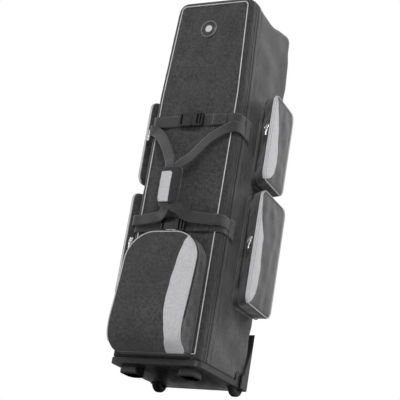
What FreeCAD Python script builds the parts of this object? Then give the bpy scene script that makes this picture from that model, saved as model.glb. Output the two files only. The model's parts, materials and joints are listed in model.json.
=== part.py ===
"""Wheeled soft-sided golf travel case, standing upright on two wheels and two feet.

Frame: +X to the case's right, +Y to its back, +Z up, all sizes in millimetres.
Pieces are drawn about the middle of the padded body; one shared shift then puts the
middle of the whole outline on the origin, with the floor at zero.
"""
import FreeCAD
import Part
import Sketcher
import os

DOC = FreeCAD.newDocument("TravelCase")
SHEET = DOC.addObject("Spreadsheet::Sheet", "Sizes")
PIECES = []


class Size:
    """A length that carries both its number and the sheet formula it comes from."""

    def __init__(self, number, formula=None):
        self.number = float(number)
        self.formula = formula if formula else repr(float(number))

    def combine(self, other, sign, number):
        return Size(number, f"({self.formula} {sign} {other.formula})")

    def __add__(self, other):
        other = as_size(other)
        return self.combine(other, "+", self.number + other.number)

    def __sub__(self, other):
        other = as_size(other)
        return self.combine(other, "-", self.number - other.number)

    def __mul__(self, other):
        other = as_size(other)
        return self.combine(other, "*", self.number * other.number)

    def __truediv__(self, other):
        other = as_size(other)
        return self.combine(other, "/", self.number / other.number)

    def __rsub__(self, other):
        return as_size(other) - self

    def __neg__(self):
        return as_size(0) - self

    __radd__ = __add__
    __rmul__ = __mul__


def as_size(value):
    return value if isinstance(value, Size) else Size(value)


def size(name, number):
    """Add one driving dimension to the sheet and return it."""
    row = len(size.names) + 1
    size.names.append(name)
    SHEET.set(f"A{row}", name)
    SHEET.set(f"B{row}", str(number))
    SHEET.setAlias(f"B{row}", name)
    return Size(number, f"Sizes.{name}")


size.names = []

# Padded body
case_width = size("case_width", 321)
case_depth = size("case_depth", 319)
case_height = size("case_height", 1292)
taper_start = case_height * 0.7275
top_narrowing = size("top_narrowing", 16)
top_corner_radius = size("top_corner_radius", 36)
back_edge_radius = size("back_edge_radius", 28)
front_edge_radius = size("front_edge_radius", 18)
wall = size("wall", 6)
lid_depth = size("lid_depth", 42)
lid_wall = size("lid_wall", 4)
seam_gap = size("seam_gap", 1)
clearance = size("clearance", 0.5)
# Base, wheels and feet
body_bottom = size("body_bottom", 44)
tray_wall = size("tray_wall", 4)
tray_overhang = size("tray_overhang", 2)
wheel_radius = size("wheel_radius", 34)
tray_bottom = wheel_radius - 8
wheel_width = size("wheel_width", 26)
wheel_inset = size("wheel_inset", 19)
wheel_setback = size("wheel_setback", 32)
hub_radius = size("hub_radius", 20)
axle_radius = size("axle_radius", 4)
axle_running_gap = size("axle_running_gap", 0.05)
housing_wall = size("housing_wall", 3)
wheel_gap = size("wheel_gap", 3)
guard_height = size("guard_height", 214)
guard_bottom = size("guard_bottom", 26)
guard_wall = size("guard_wall", 5)
guard_side_reach = size("guard_side_reach", 9)
guard_back_reach = size("guard_back_reach", 9)
guard_length = size("guard_length", 44)
foot_length = size("foot_length", 70)
foot_width = size("foot_width", 60)
foot_inset = size("foot_inset", 55)
foot_setback = size("foot_setback", 26)
# Zips and trim
zip_tape_width = size("zip_tape_width", 14)
zip_tape_thickness = size("zip_tape_thickness", 1.5)
piping_inset = size("piping_inset", 18)
piping_width = size("piping_width", 3)
piping_rise = size("piping_rise", 2)
slider_length = size("slider_length", 22)
slider_width = size("slider_width", 13)
slider_height = size("slider_height", 7)
slider_setout = size("slider_setout", 62)
pull_length = size("pull_length", 48)
pull_width = size("pull_width", 11)
pull_thickness = size("pull_thickness", 3)
emblem_radius = size("emblem_radius", 30)
emblem_thickness = size("emblem_thickness", 2.5)
emblem_offset = size("emblem_offset", 9)
emblem_drop = size("emblem_drop", 111)
# Side pockets
side_pocket_front = size("side_pocket_front", 138)
side_pocket_overhang = size("side_pocket_overhang", 56)
side_pocket_wall = size("side_pocket_wall", 3)
cover_thickness = size("cover_thickness", 6)
upper_pocket_bottom = size("upper_pocket_bottom", 668)
upper_pocket_height = size("upper_pocket_height", 300)
upper_pocket_back = size("upper_pocket_back", 272)
upper_pocket_front_depth = size("upper_pocket_front_depth", 77)
upper_pocket_back_depth = size("upper_pocket_back_depth", 55)
upper_slider_height = size("upper_slider_height", 848)
lower_pocket_bottom = size("lower_pocket_bottom", 256)
lower_pocket_height = size("lower_pocket_height", 380)
lower_pocket_back = size("lower_pocket_back", 300)
lower_pocket_front_depth = size("lower_pocket_front_depth", 84)
lower_pocket_back_depth = size("lower_pocket_back_depth", 62)
lower_slider_height = size("lower_slider_height", 462)
side_pocket_radius = size("side_pocket_radius", 16)
# Front shoe pocket
shoe_width = size("shoe_width", 262)
shoe_top = size("shoe_top", 440)
shoe_bottom = size("shoe_bottom", 54)
shoe_knee = size("shoe_knee", 112)
shoe_top_reach = size("shoe_top_reach", 62)
shoe_knee_reach = size("shoe_knee_reach", 95)
shoe_corner_radius = size("shoe_corner_radius", 95)
shoe_wall = size("shoe_wall", 4)
# Straps, buckles and handles
strap_width = size("strap_width", 42)
strap_thickness = size("strap_thickness", 2.5)
upper_strap_height = size("upper_strap_height", 843)
lower_strap_height = size("lower_strap_height", 478)
upper_band_height = size("upper_band_height", 814)
lower_band_height = size("lower_band_height", 498)
anchor_length = size("anchor_length", 36)
buckle_length = size("buckle_length", 86)
buckle_width = size("buckle_width", 46)
buckle_height = size("buckle_height", 14)
buckle_offset = size("buckle_offset", 6)
grip_length = size("grip_length", 118)
grip_width = size("grip_width", 74)
grip_thickness = size("grip_thickness", 26)
grip_offset = size("grip_offset", 13)
grip_height = size("grip_height", 596)
grip_reach = size("grip_reach", 62)
carry_band_width = size("carry_band_width", 36)
band_thickness = size("band_thickness", 3)
back_handle_width = size("back_handle_width", 150)
back_handle_drop = size("back_handle_drop", 62)
back_handle_thickness = size("back_handle_thickness", 9)
back_handle_band = size("back_handle_band", 24)
yoke_width = size("yoke_width", 190)
yoke_thickness = size("yoke_thickness", 4)
yoke_reach = size("yoke_reach", 72)
yoke_drop = size("yoke_drop", 95)
# Inside
board_thickness = size("board_thickness", 3)
board_width = size("board_width", 216)
liner_thickness = size("liner_thickness", 10)
liner_bottom = case_height * 0.6192

half = case_width / 2
front = -case_depth / 2
back = case_depth / 2
seam = front + lid_depth
top_half = half - top_narrowing
front_reach = case_depth / 2 + shoe_knee_reach
back_reach = case_depth / 2 + guard_back_reach
centre_shift = (front_reach - back_reach) / 2
strap_gap = piping_rise + clearance
strap_face = strap_gap + strap_thickness
band_gap = strap_face + 1
SIDES = (("left", -1), ("right", 1))


# ---------------------------------------------------------------- building blocks

def bind(item, prop, value):
    item.setExpression(prop, as_size(value).formula)


def new_sketch(body, plane, low, high):
    """Sketch on one of the body's own planes, moved to where its pad begins."""
    sketch = body.newObject("Sketcher::SketchObject", body.Name + "Sketch")
    support = [f for f in body.Origin.OriginFeatures if f.Role == plane + "_Plane"][0]
    sketch.AttachmentSupport = [(support, "")]
    sketch.MapMode = "FlatFace"
    begin = -high if plane == "XZ" else low
    bind(sketch, "AttachmentOffset.Base.z", begin)
    return sketch


def pad(body, sketch, low, high):
    feature = body.newObject("PartDesign::Pad", body.Name + "Pad")
    feature.Profile = sketch
    bind(feature, "Length", high - low)
    sketch.Visibility = False
    body.Tip = feature
    return feature


def fix_point(sketch, geometry, end, name, across, along):
    """Hold one end of a line at two sizes measured from the sketch's origin."""
    for word, kind, value in (("Across", "DistanceX", across), ("Along", "DistanceY", along)):
        sketch.addConstraint(Sketcher.Constraint(kind, -1, 1, geometry, end, value.number))
        label = name + word
        sketch.renameConstraint(sketch.ConstraintCount - 1, label)
        bind(sketch, "Constraints." + label, value)


def prism(name, plane, corners, low, high, rounds=()):
    """Straight-sided block: corners in the plane, from low to high along the third axis.

    rounds lists (radius, picker) pairs; a picker takes an edge's middle and direction.
    """
    low = as_size(low)
    high = as_size(high)
    corners = [(as_size(a), as_size(b)) for a, b in corners]
    body = DOC.addObject("PartDesign::Body", name)
    sketch = new_sketch(body, plane, low, high)
    points = [FreeCAD.Vector(a.number, b.number, 0) for a, b in corners]
    count = len(points)
    for i in range(count):
        sketch.addGeometry(Part.LineSegment(points[i], points[(i + 1) % count]), False)
    for i in range(count):
        sketch.addConstraint(Sketcher.Constraint("Coincident", i, 2, (i + 1) % count, 1))
    for i, (across, along) in enumerate(corners):
        fix_point(sketch, i, 1, f"Corner{i}", across, along)
    pad(body, sketch, low, high)
    for radius, picker in rounds:
        round_edges(body, as_size(radius), picker)
    return body


def rod(name, plane, middle, radius, low, high):
    """Round bar along the axis square to the plane."""
    low = as_size(low)
    high = as_size(high)
    across, along = as_size(middle[0]), as_size(middle[1])
    body = DOC.addObject("PartDesign::Body", name)
    sketch = new_sketch(body, plane, low, high)
    centre = FreeCAD.Vector(across.number, along.number, 0)
    sketch.addGeometry(Part.Circle(centre, FreeCAD.Vector(0, 0, 1), as_size(radius).number), False)
    fix_point(sketch, 0, 3, "Middle", across, along)
    sketch.addConstraint(Sketcher.Constraint("Radius", 0, as_size(radius).number))
    sketch.renameConstraint(sketch.ConstraintCount - 1, "Radius")
    bind(sketch, "Constraints.Radius", radius)
    pad(body, sketch, low, high)
    return body


def round_edges(body, radius, picker):
    DOC.recompute()
    base = body.Tip
    chosen = []
    for i, edge in enumerate(base.Shape.Edges):
        run = edge.Vertexes[-1].Point - edge.Vertexes[0].Point
        if picker(edge.CenterOfMass, run):
            chosen.append(f"Edge{i + 1}")
    if not chosen:
        raise RuntimeError(f"{body.Name}: no edge to round")
    feature = body.newObject("PartDesign::Fillet", body.Name + "Round")
    feature.Base = (base, chosen)
    bind(feature, "Radius", radius)
    body.Tip = feature


def hollow(body, thickness, picker):
    """Leave a wall of the given thickness, open at the picked flat face."""
    DOC.recompute()
    base = body.Tip
    faces = base.Shape.Faces
    chosen = [f"Face{i + 1}" for i, face in enumerate(faces) if picker(face.CenterOfMass)]
    feature = body.newObject("PartDesign::Thickness", body.Name + "Hollow")
    feature.Base = (base, chosen)
    feature.Reversed = True
    feature.Mode = 0
    feature.Join = 1
    bind(feature, "Value", thickness)
    body.Tip = feature


def cut(name, base, *tools):
    result = base
    for number, tool in enumerate(tools):
        step = DOC.addObject("Part::Cut", f"{name}{number}")
        step.Base = result
        step.Tool = tool
        result = step
    return result


def fuse(name, *shapes):
    result = DOC.addObject("Part::MultiFuse", name)
    result.Shapes = list(shapes)
    return result


def common(name, *shapes):
    result = DOC.addObject("Part::MultiCommon", name)
    result.Shapes = list(shapes)
    return result


def piece(label, item):
    """Give a finished sub-part its name and put it in the shared frame."""
    item.Label = label
    bind(item, "Placement.Base.y", centre_shift)
    PIECES.append(item)
    return item


def along(axis):
    """Picker for edges that run along one axis."""
    return lambda middle, run: run.Length > 0.001 and abs(run[axis]) > 0.999 * run.Length


def corner_edges(axis, test):
    straight = along(axis)
    return lambda middle, run: straight(middle, run) and test(middle)


def full_circles(middle, run):
    """Picker for the two rims of a round bar."""
    return run.Length < 0.001


def box(x_low, x_high, y_low, y_high):
    return [(x_low, y_low), (x_high, y_low), (x_high, y_high), (x_low, y_high)]


def mirrored(side, low, high):
    """Span on one side of the case, given for its right side."""
    return (low, high) if side > 0 else (-as_size(high), -as_size(low))


# ---------------------------------------------------------------- padded body

def body_outline(inset, bottom):
    """Front view of the padded body, drawn in by an even inset."""
    low_half = half - inset
    high_half = top_half - inset
    top = case_height - inset
    return [(-low_half, bottom), (low_half, bottom), (low_half, taper_start),
            (high_half, top), (-high_half, top), (-low_half, taper_start)]


def near_top(middle):
    return middle.z > taper_start.number + 100


def outline_block(name, inset, bottom, low, high, extra_rounds=()):
    rounds = [(top_corner_radius - inset, corner_edges(1, near_top))]
    rounds.extend(extra_rounds)
    return prism(name, "XZ", body_outline(inset, bottom), low, high, rounds)


def shell():
    def back_loop(middle, run):
        return abs(middle.y - back.number) < 0.01
    def room_loop(middle, run):
        return abs(middle.y - (back - wall).number) < 0.01
    block = outline_block("Shell", 0, body_bottom, seam + seam_gap, back,
                          [(back_edge_radius, back_loop)])
    wells = [outline_block("ShellRoom", wall, body_bottom + wall, seam - 5, back - wall,
                           [(back_edge_radius - wall, room_loop)])]
    for word, side in SIDES:
        low, high = mirrored(side, housing_inner - clearance, half + tray_overhang)
        wells.append(prism("ShellWell" + word, "XY",
                           box(low, high, housing_front - clearance, back + tray_overhang),
                           body_bottom - 2, housing_top + clearance))
    piece("shell", cut("ShellCut", block, *wells))


def lid_panel():
    def front_loop(middle, run):
        return abs(middle.y - front.number) < 0.01 and middle.z > body_bottom.number + 1
    block = outline_block("Lid", 0, body_bottom, front, seam - seam_gap,
                          [(front_edge_radius, front_loop)])
    hollow(block, lid_wall, lambda middle: abs(middle.y - (seam - seam_gap).number) < 0.01)
    piece("lid_panel", block)


def zip_track(label, low, high):
    """Tape and coil that follow the seam up one side, over the top and down the other."""
    outer = outline_block(label + "Outer", -zip_tape_thickness, body_bottom + 1, low, high)
    inner = outline_block(label + "Inner", 0, body_bottom - 5, low - 2, high + 2)
    piece(label, cut(label + "Cut", outer, inner))


def lid_piping():
    outer = outline_block("PipingOuter", piping_inset, body_bottom + 4, front - piping_rise, front)
    inner = outline_block("PipingInner", piping_inset + piping_width,
                          body_bottom + 4 + piping_width, front - piping_rise - 1, front + 1)
    piece("lid_piping", cut("PipingCut", outer, inner))


def emblem():
    middle = (-emblem_offset, case_height - emblem_drop)
    disc = rod("EmblemDisc", "XZ", middle, emblem_radius, front - emblem_thickness, front)
    groove = rod("EmblemGroove", "XZ", middle, emblem_radius * 0.8,
                 front - emblem_thickness - 1, front - emblem_thickness / 2)
    centre = rod("EmblemCentre", "XZ", middle, emblem_radius * 0.5,
                 front - emblem_thickness - 1, front - emblem_thickness / 2)
    ring = cut("EmblemRing", groove, centre)
    piece("emblem", cut("EmblemCut", disc, ring))


def liner():
    """Foam arch around the club heads."""
    low = seam + 14
    high = back - back_edge_radius - 4
    gap = wall + clearance
    outer = outline_block("LinerOuter", gap, liner_bottom, low, high)
    inner = outline_block("LinerInner", gap + liner_thickness, liner_bottom - 5, low - 2, high + 2)
    piece("liner", cut("LinerCut", outer, inner))


def back_board():
    inside = back - wall - clearance
    plan = box(-board_width / 2, board_width / 2, inside - board_thickness, inside)
    piece("back_board", prism("BackBoard", "XY", plan, housing_top + 12, case_height - 70,
                              [(1, along(2))]))


def yoke():
    """Wear panel folded over the top back edge."""
    inner_y = back + clearance
    outer_y = inner_y + yoke_thickness
    inner_z = case_height + clearance
    outer_z = inner_z + yoke_thickness
    begin = back - yoke_reach
    end = case_height - yoke_drop
    profile = [(begin, inner_z), (inner_y, inner_z), (inner_y, end),
               (outer_y, end), (outer_y, outer_z), (begin, outer_z)]

    def outer_corner(middle):
        return middle.y > outer_y.number - 0.01 and middle.z > outer_z.number - 0.01

    def inner_corner(middle):
        return abs(middle.y - inner_y.number) < 0.01 and abs(middle.z - inner_z.number) < 0.01
    inner_radius = back_edge_radius - 3
    rounds = [(inner_radius + yoke_thickness, corner_edges(0, outer_corner)),
              (inner_radius, corner_edges(0, inner_corner))]
    piece("yoke", prism("Yoke", "YZ", profile, -yoke_width / 2, yoke_width / 2, rounds))


def back_handle():
    """Grab loop hanging from the yoke's lower edge."""
    low_y = back + yoke_thickness + clearance + 1
    top = back_handle_top
    bottom = top - back_handle_drop
    wide = back_handle_width / 2
    narrow = wide - back_handle_band
    outer = prism("BackHandleOuter", "XZ", box(-wide, wide, bottom, top + 6),
                  low_y, low_y + back_handle_thickness, [(18, along(1))])
    inner = prism("BackHandleInner", "XZ", box(-narrow, narrow, bottom + back_handle_band, top - 4),
                  low_y - 1, low_y + back_handle_thickness + 1, [(8, along(1))])
    piece("back_handle", cut("BackHandleCut", outer, inner))


back_handle_top = case_height - yoke_drop + 22


# ---------------------------------------------------------------- base, wheels, feet

wheel_x = half - wheel_inset
wheel_y = back - wheel_setback
housing_inner = wheel_x - wheel_width / 2 - wheel_gap - housing_wall
housing_outer = wheel_x + wheel_width / 2 + wheel_gap
housing_front = wheel_y - wheel_radius - wheel_gap - housing_wall
housing_top = wheel_radius * 2 + wheel_gap + housing_wall


def base_tray():
    plan = box(-half - tray_overhang, half + tray_overhang,
               front - tray_overhang, back + tray_overhang)
    outer = prism("TrayOuter", "XY", plan, tray_bottom, body_bottom - clearance,
                  [(24, along(2))])
    inside = tray_wall - tray_overhang
    room = box(-half + inside, half - inside, front + inside, back - inside)
    inner = prism("TrayRoom", "XY", room, tray_bottom + tray_wall, body_bottom + 2,
                  [(20, along(2))])
    tools = [inner]
    for word, side in SIDES:
        low, high = mirrored(side, housing_inner - clearance, half + tray_overhang + 2)
        plan = box(low, high, housing_front - clearance, back + tray_overhang + 2)
        tools.append(prism("TrayWell" + word, "XY", plan, tray_bottom - 2, body_bottom + 4))
    piece("base_tray", cut("TrayCut", outer, *tools))


def wheel_housing(word, side):
    """Box over a wheel, open below and behind, with two cheeks that hold the axle."""
    low, high = mirrored(side, housing_inner, housing_outer + housing_wall)
    room_low, room_high = mirrored(side, housing_inner + housing_wall, housing_outer)
    block = prism("HousingBlock" + word, "XY", box(low, high, housing_front, back),
                  tray_bottom, housing_top)
    room = prism("HousingRoom" + word, "XY",
                 box(room_low, room_high, housing_front + housing_wall, back + 2),
                 tray_bottom - 2, housing_top - housing_wall)
    bore = rod("HousingBore" + word, "YZ", (wheel_y, wheel_radius), axle_radius, low - 2, high + 2)
    piece("wheel_housing_" + word, cut("Housing" + word, block, room, bore))


def wheel(word, side):
    spot = (wheel_y, wheel_radius)
    low, high = mirrored(side, wheel_x - wheel_width / 2, wheel_x + wheel_width / 2)
    tyre = rod("Tyre" + word, "YZ", spot, wheel_radius, low, high)
    round_edges(tyre, as_size(8), full_circles)
    tyre_hole = rod("TyreHole" + word, "YZ", spot, hub_radius, low - 2, high + 2)
    piece("tyre_" + word, cut("TyreCut" + word, tyre, tyre_hole))
    hub = rod("Hub" + word, "YZ", spot, hub_radius, low + 1, high - 1)
    dish_out = rod("HubDishOut" + word, "YZ", spot, hub_radius - 3, high - 7, high)
    dish_in = rod("HubDishIn" + word, "YZ", spot, hub_radius - 3, low, low + 7)
    boss = rod("HubBoss" + word, "YZ", spot, axle_radius * 2.5, low + 1, high - 1)
    bore = rod("HubBore" + word, "YZ", spot, axle_radius + axle_running_gap, low - 2, high + 2)
    dished = cut("HubDished" + word, hub, dish_out, dish_in)
    piece("hub_" + word, cut("HubCut" + word, fuse("HubBody" + word, dished, boss), bore))
    axle_low, axle_high = mirrored(side, housing_inner - 2, housing_outer + housing_wall + 2)
    piece("axle_" + word, rod("Axle" + word, "YZ", spot, axle_radius, axle_low, axle_high))


def rear_guard():
    """Moulded bumper round the lower back, sloping down to the wheels at each side."""
    outer_half = half + guard_side_reach
    inner_half = outer_half - guard_wall
    outer_back = back + guard_back_reach
    inner_back = outer_back - guard_wall
    begin = wheel_y - guard_length / 4
    outer = prism("GuardOuter", "XY", box(-outer_half, outer_half, begin, outer_back),
                  guard_bottom, guard_height,
                  [(17, corner_edges(2, lambda middle: middle.y > back.number))])
    inner = prism("GuardInner", "XY", box(-inner_half, inner_half, begin - 5, inner_back),
                  guard_bottom - 2, guard_height + 2,
                  [(12, corner_edges(2, lambda middle: middle.y > back.number))])
    slope = prism("GuardSlope", "YZ",
                  [(begin - 5, wheel_radius * 2), (begin + 8, wheel_radius * 2),
                   (back + 2, guard_height - 24), (back + 2, guard_height + 5),
                   (begin - 5, guard_height + 5)],
                  -outer_half - 5, outer_half + 5)
    piece("rear_guard", cut("GuardCut", outer, inner, slope))


def foot(word, side):
    """D-shaped moulded foot with a finger slot."""
    middle = half - foot_inset
    low, high = mirrored(side, middle - foot_width / 2, middle + foot_width / 2)
    begin = front + foot_setback
    end = begin + foot_length
    block = prism("Foot" + word, "XY", box(low, high, begin, end), 0, tray_bottom,
                  [(26, corner_edges(2, lambda m: m.y > (end - 1).number)),
                   (8, corner_edges(2, lambda m: m.y < (begin + 1).number)),
                   (5, lambda m, run: abs(m.z) < 0.01)])
    slot_low, slot_high = mirrored(side, middle - 6, middle + 6)
    slot = prism("FootSlot" + word, "XY", box(slot_low, slot_high, begin + 14, end - 18),
                 -2, tray_bottom - 8)
    piece("foot_" + word, cut("FootCut" + word, block, slot))


# ---------------------------------------------------------------- side pockets

POCKETS = (("upper", upper_pocket_bottom, upper_pocket_height, upper_pocket_back,
            upper_pocket_front_depth, upper_pocket_back_depth, upper_slider_height),
           ("lower", lower_pocket_bottom, lower_pocket_height, lower_pocket_back,
            lower_pocket_front_depth, lower_pocket_back_depth, lower_slider_height))
pocket_root = front + side_pocket_front
pocket_lip = pocket_root - side_pocket_overhang


def on_side(side, corners):
    """Plan corners given for the right side, mirrored for the left."""
    return [(side * as_size(x), y) for x, y in corners]


def pocket_silhouette(name, bottom, height, end, inset, rounding):
    """Side view of a pocket with rounded corners, run across the whole case."""
    reach = half + lower_pocket_front_depth + 20
    view = box(pocket_lip + inset, end - inset, bottom + inset, bottom + height - inset)
    return prism(name, "YZ", view, -reach, reach, [(rounding, along(0))])


def side_pocket(level, bottom, height, back_edge, front_depth, back_depth, slider_z, word, side):
    """Wedge-shaped pocket: its forward wall leans ahead of where it is sewn on."""
    name = level + word
    end = front + back_edge
    top = bottom + height
    root = half + clearance
    lip_x = half + front_depth - cover_thickness - seam_gap
    end_x = half + back_depth - cover_thickness - seam_gap
    plan = [(root, pocket_root), (lip_x, pocket_lip + 5), (end_x, end), (root, end)]
    bulk = prism("Pocket" + name, "XY", on_side(side, plan), bottom, top)
    body = common("PocketBody" + name, bulk,
                  pocket_silhouette("PocketView" + name, bottom, height, end, 0,
                                    side_pocket_radius))
    skin = side_pocket_wall
    far = half + front_depth + 6
    room_plan = [(root + skin, pocket_root + skin + 1), (far, pocket_lip + skin + 1),
                 (far, end - skin), (root + skin, end - skin)]
    room_bulk = prism("PocketRoom" + name, "XY", on_side(side, room_plan),
                      bottom + skin, top - skin)
    room = common("PocketHollow" + name, room_bulk,
                  pocket_silhouette("RoomView" + name, bottom, height, end, skin,
                                    side_pocket_radius - skin))
    piece(f"pocket_{level}_{word}", cut("PocketCut" + name, body, room))
    thick = cover_thickness
    cover_plan = [(half + front_depth - thick, pocket_lip), (half + front_depth, pocket_lip),
                  (half + back_depth, end), (half + back_depth - thick, end)]
    slab = prism("Cover" + name, "XY", on_side(side, cover_plan), bottom, top)
    cover = common("CoverBody" + name, slab,
                   pocket_silhouette("CoverView" + name, bottom, height, end, 0,
                                     side_pocket_radius))
    piece(f"cover_{level}_{word}", cover)
    zip_slider_on_gusset(name, f"{level}_{word}", front_depth, slider_z, side)


def zip_slider_on_gusset(name, label, depth, height, side):
    """Slider and hanging pull on the forward wall of a side pocket."""
    middle_x = half + slider_setout
    low, high = mirrored(side, middle_x - slider_width / 2, middle_x + slider_width / 2)
    wall_run = side_pocket_overhang * (slider_setout + slider_width / 2) / depth
    face = pocket_root - wall_run - clearance * 2
    body = prism("Slider" + name, "YZ",
                 box(face - slider_height, face, height - slider_length / 2,
                     height + slider_length / 2),
                 low, high, [(2, along(0))])
    piece("slider_" + label, body)
    low, high = mirrored(side, middle_x - pull_width / 2, middle_x + pull_width / 2)
    near = face - slider_height - clearance * 2
    tab = prism("Pull" + name, "XZ",
                box(low, high, height + 1.5 - pull_length, height + 1.5),
                near - pull_thickness, near, [(1.2, along(1))])
    piece("pull_" + label, tab)


# ---------------------------------------------------------------- shoe pocket

def shoe_profile(inset):
    """Side view of the bulging pocket, drawn in from its front by an inset."""
    face = front - clearance
    knee = front - shoe_knee_reach + inset
    upper = front - shoe_top_reach + inset
    return [(face, shoe_bottom + inset / 2), (front - 8 + inset / 2, shoe_bottom + inset / 2),
            (knee + 14, shoe_knee - 34 + inset / 3), (knee, shoe_knee),
            (knee + 3, shoe_knee + 46), (upper - 12, shoe_top - 150), (upper, shoe_top),
            (face, shoe_top)]


def shoe_arch(name, inset, low, high):
    wide = shoe_width / 2 - inset
    radius = shoe_corner_radius - inset
    return prism(name, "XZ", box(-wide, wide, shoe_bottom - 20, shoe_top - inset), low, high,
                 [(radius, corner_edges(1, lambda m: m.z > shoe_knee.number))])


def shoe_block(name, inset, arch_inset):
    """Pocket bulk: the side view swept across, trimmed to the arched front view."""
    wide = shoe_width / 2 + 5
    swept = prism(name + "Swept", "YZ", shoe_profile(inset), -wide, wide)
    arch = shoe_arch(name + "Arch", arch_inset, front - shoe_knee_reach - 5, front + 5)
    return common(name, swept, arch)


def shoe_pocket():
    flap_gap = shoe_wall + seam_gap
    whole = shoe_block("ShoeWhole", 0, 0)
    skin_inner = shoe_block("ShoeSkinInner", shoe_wall, -2)
    piece("shoe_flap", cut("ShoeFlap", whole, skin_inner, shoe_backstop()))
    gusset = shoe_block("ShoeGusset", flap_gap, 0)
    room = shoe_block("ShoeRoom", flap_gap + 0.01, shoe_wall)
    backing = prism("ShoeRoomFront", "XZ",
                    box(-shoe_width, shoe_width, shoe_bottom - 30, shoe_top + 30),
                    front - shoe_knee_reach - 10, front - clearance - side_pocket_wall)
    room_only = common("ShoeRoomTrim", room, backing)
    floor = prism("ShoeFloor", "XY", box(-shoe_width, shoe_width, front - shoe_knee_reach - 10,
                                         front + 5),
                  shoe_bottom - 30, shoe_bottom + flap_gap / 2 + shoe_wall)
    room_above = cut("ShoeRoomAbove", room_only, floor)
    piece("shoe_pocket", cut("ShoePocket", gusset, room_above))


def shoe_backstop():
    """Space behind the flap's foot that belongs to the pocket and the lid."""
    return prism("ShoeBackstop", "XZ",
                 box(-shoe_width, shoe_width, shoe_bottom - 30, shoe_top + 30),
                 front - 3, front + 10)


def shoe_piping():
    """Cord sewn round the arched edge of the flap."""
    outer = shoe_arch("ShoePipingOuter", 0, front - shoe_knee_reach - 5, front - 10)
    inner = shoe_arch("ShoePipingInner", piping_width, front - shoe_knee_reach - 10, front)
    ring = cut("ShoePipingRing", outer, inner)
    proud = prism("ShoePipingProud", "YZ", shoe_profile(-piping_rise), -shoe_width, shoe_width)
    whole = prism("ShoePipingSkin", "YZ", shoe_profile(0), -shoe_width, shoe_width)
    above = prism("ShoePipingAbove", "XY",
                  box(-shoe_width, shoe_width, front - 150, front + 20),
                  shoe_knee - 30, shoe_top + 10)
    skin = cut("ShoePipingStrip", proud, whole)
    piece("shoe_piping", common("ShoePiping", ring, skin, above))


def shoe_zip():
    """Slider on the pocket's top wall, its pull lying along the zip."""
    middle_y = front - shoe_top_reach + shoe_wall + seam_gap + slider_width
    face = shoe_top + clearance
    slider_x = shoe_slider_offset
    body = prism("SliderShoe", "XY",
                 box(slider_x - slider_length / 2, slider_x + slider_length / 2,
                     middle_y - slider_width / 2, middle_y + slider_width / 2),
                 face, face + slider_height, [(2, along(2))])
    piece("slider_shoe", body)
    low = face + slider_height + clearance * 2
    tab = prism("PullShoe", "XY",
                box(slider_x - pull_length + 1.5, slider_x + 1.5,
                    middle_y - pull_width / 2, middle_y + pull_width / 2),
                low, low + pull_thickness, [(1.2, along(2))])
    piece("pull_shoe", tab)


shoe_slider_offset = shoe_width / 12


def main_zip():
    """Slider of the long zip, parked at the left end of the top run."""
    face = case_height + zip_tape_thickness + clearance
    start = -top_half + top_corner_radius + slider_length
    body = prism("SliderMain", "XY",
                 box(start - slider_length / 2, start + slider_length / 2,
                     seam - slider_width / 2, seam + slider_width / 2),
                 face, face + slider_height, [(2, along(2))])
    piece("slider_main", body)
    low = face + slider_height + clearance * 2
    tab = prism("PullMain", "XY",
                box(start - 1.5, start - 1.5 + pull_length,
                    seam - pull_width / 2, seam + pull_width / 2),
                low, low + pull_thickness, [(1.2, along(2))])
    piece("pull_main", tab)


# ---------------------------------------------------------------- straps and buckles

def wrap_block(name, gap, low, high):
    """Plan view of the lid grown by a gap, between two heights."""
    wide = half + gap
    return prism(name, "XY", box(-wide, wide, front - gap, seam - 2 * seam_gap), low, high,
                 [(front_edge_radius + gap, corner_edges(2, lambda m: m.y < front.number + 1))])


def strap(level, height):
    """Webbing round the front of the lid, parted at its buckle."""
    low = height - strap_width / 2
    high = height + strap_width / 2
    middle = -buckle_offset
    for word, side in SIDES:
        name = level + word
        outer = wrap_block("StrapOuter" + name, strap_face, low, high)
        inner = wrap_block("StrapInner" + name, strap_gap, low - 2, high + 2)
        end = middle + side * (buckle_length / 2 - 12)
        if side > 0:
            keep = box(end, half + 20, front - 20, seam)
        else:
            keep = box(-half - 20, end, front - 20, seam)
        half_plane = prism("StrapKeep" + name, "XY", keep, low - 1, high + 1)
        ring = cut("StrapRing" + name, outer, inner)
        piece(f"strap_{level}_{word}", common("Strap" + name, ring, half_plane))


def buckle(level, height):
    """Side-release buckle: hollow socket on the left, pronged plug on the right."""
    near = front - strap_face - clearance
    far = near - buckle_height
    middle = -buckle_offset
    left = middle - buckle_length / 2
    right = middle + buckle_length / 2
    low = height - buckle_width / 2
    high = height + buckle_width / 2
    mouth = middle + 4
    socket = prism("Socket" + level, "XZ", box(left, mouth, low, high), far, near,
                   [(6, along(1))])
    room = prism("SocketRoom" + level, "XZ", box(left + 22, mouth + 2, low + 4, high - 4),
                 far + 3, near - 3)
    slot = prism("SocketSlot" + level, "XZ", box(left + 5, left + 12, low + 5, high - 5),
                 far - 2, near + 2)
    piece("buckle_socket_" + level, cut("SocketCut" + level, socket, room, slot))
    frame = prism("Plug" + level, "XZ", box(mouth + 1, right, low, high), far, near,
                  [(6, along(1))])
    ladder_one = prism("PlugSlotOne" + level, "XZ",
                       box(right - 10, right - 4, low + 5, high - 5), far - 2, near + 2)
    ladder_two = prism("PlugSlotTwo" + level, "XZ",
                       box(right - 22, right - 15, low + 5, high - 5), far - 2, near + 2)
    prongs = []
    for number, (bottom, top) in enumerate(((low + 5, low + 12), (high - 12, high - 5),
                                            (height - 4, height + 4))):
        prongs.append(prism(f"Prong{number}{level}", "XZ",
                            box(left + 26, mouth + 4, bottom, top), far + 4, near - 4))
    body = fuse("PlugBody" + level, cut("PlugCut" + level, frame, ladder_one, ladder_two), *prongs)
    piece("buckle_plug_" + level, body)


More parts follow.
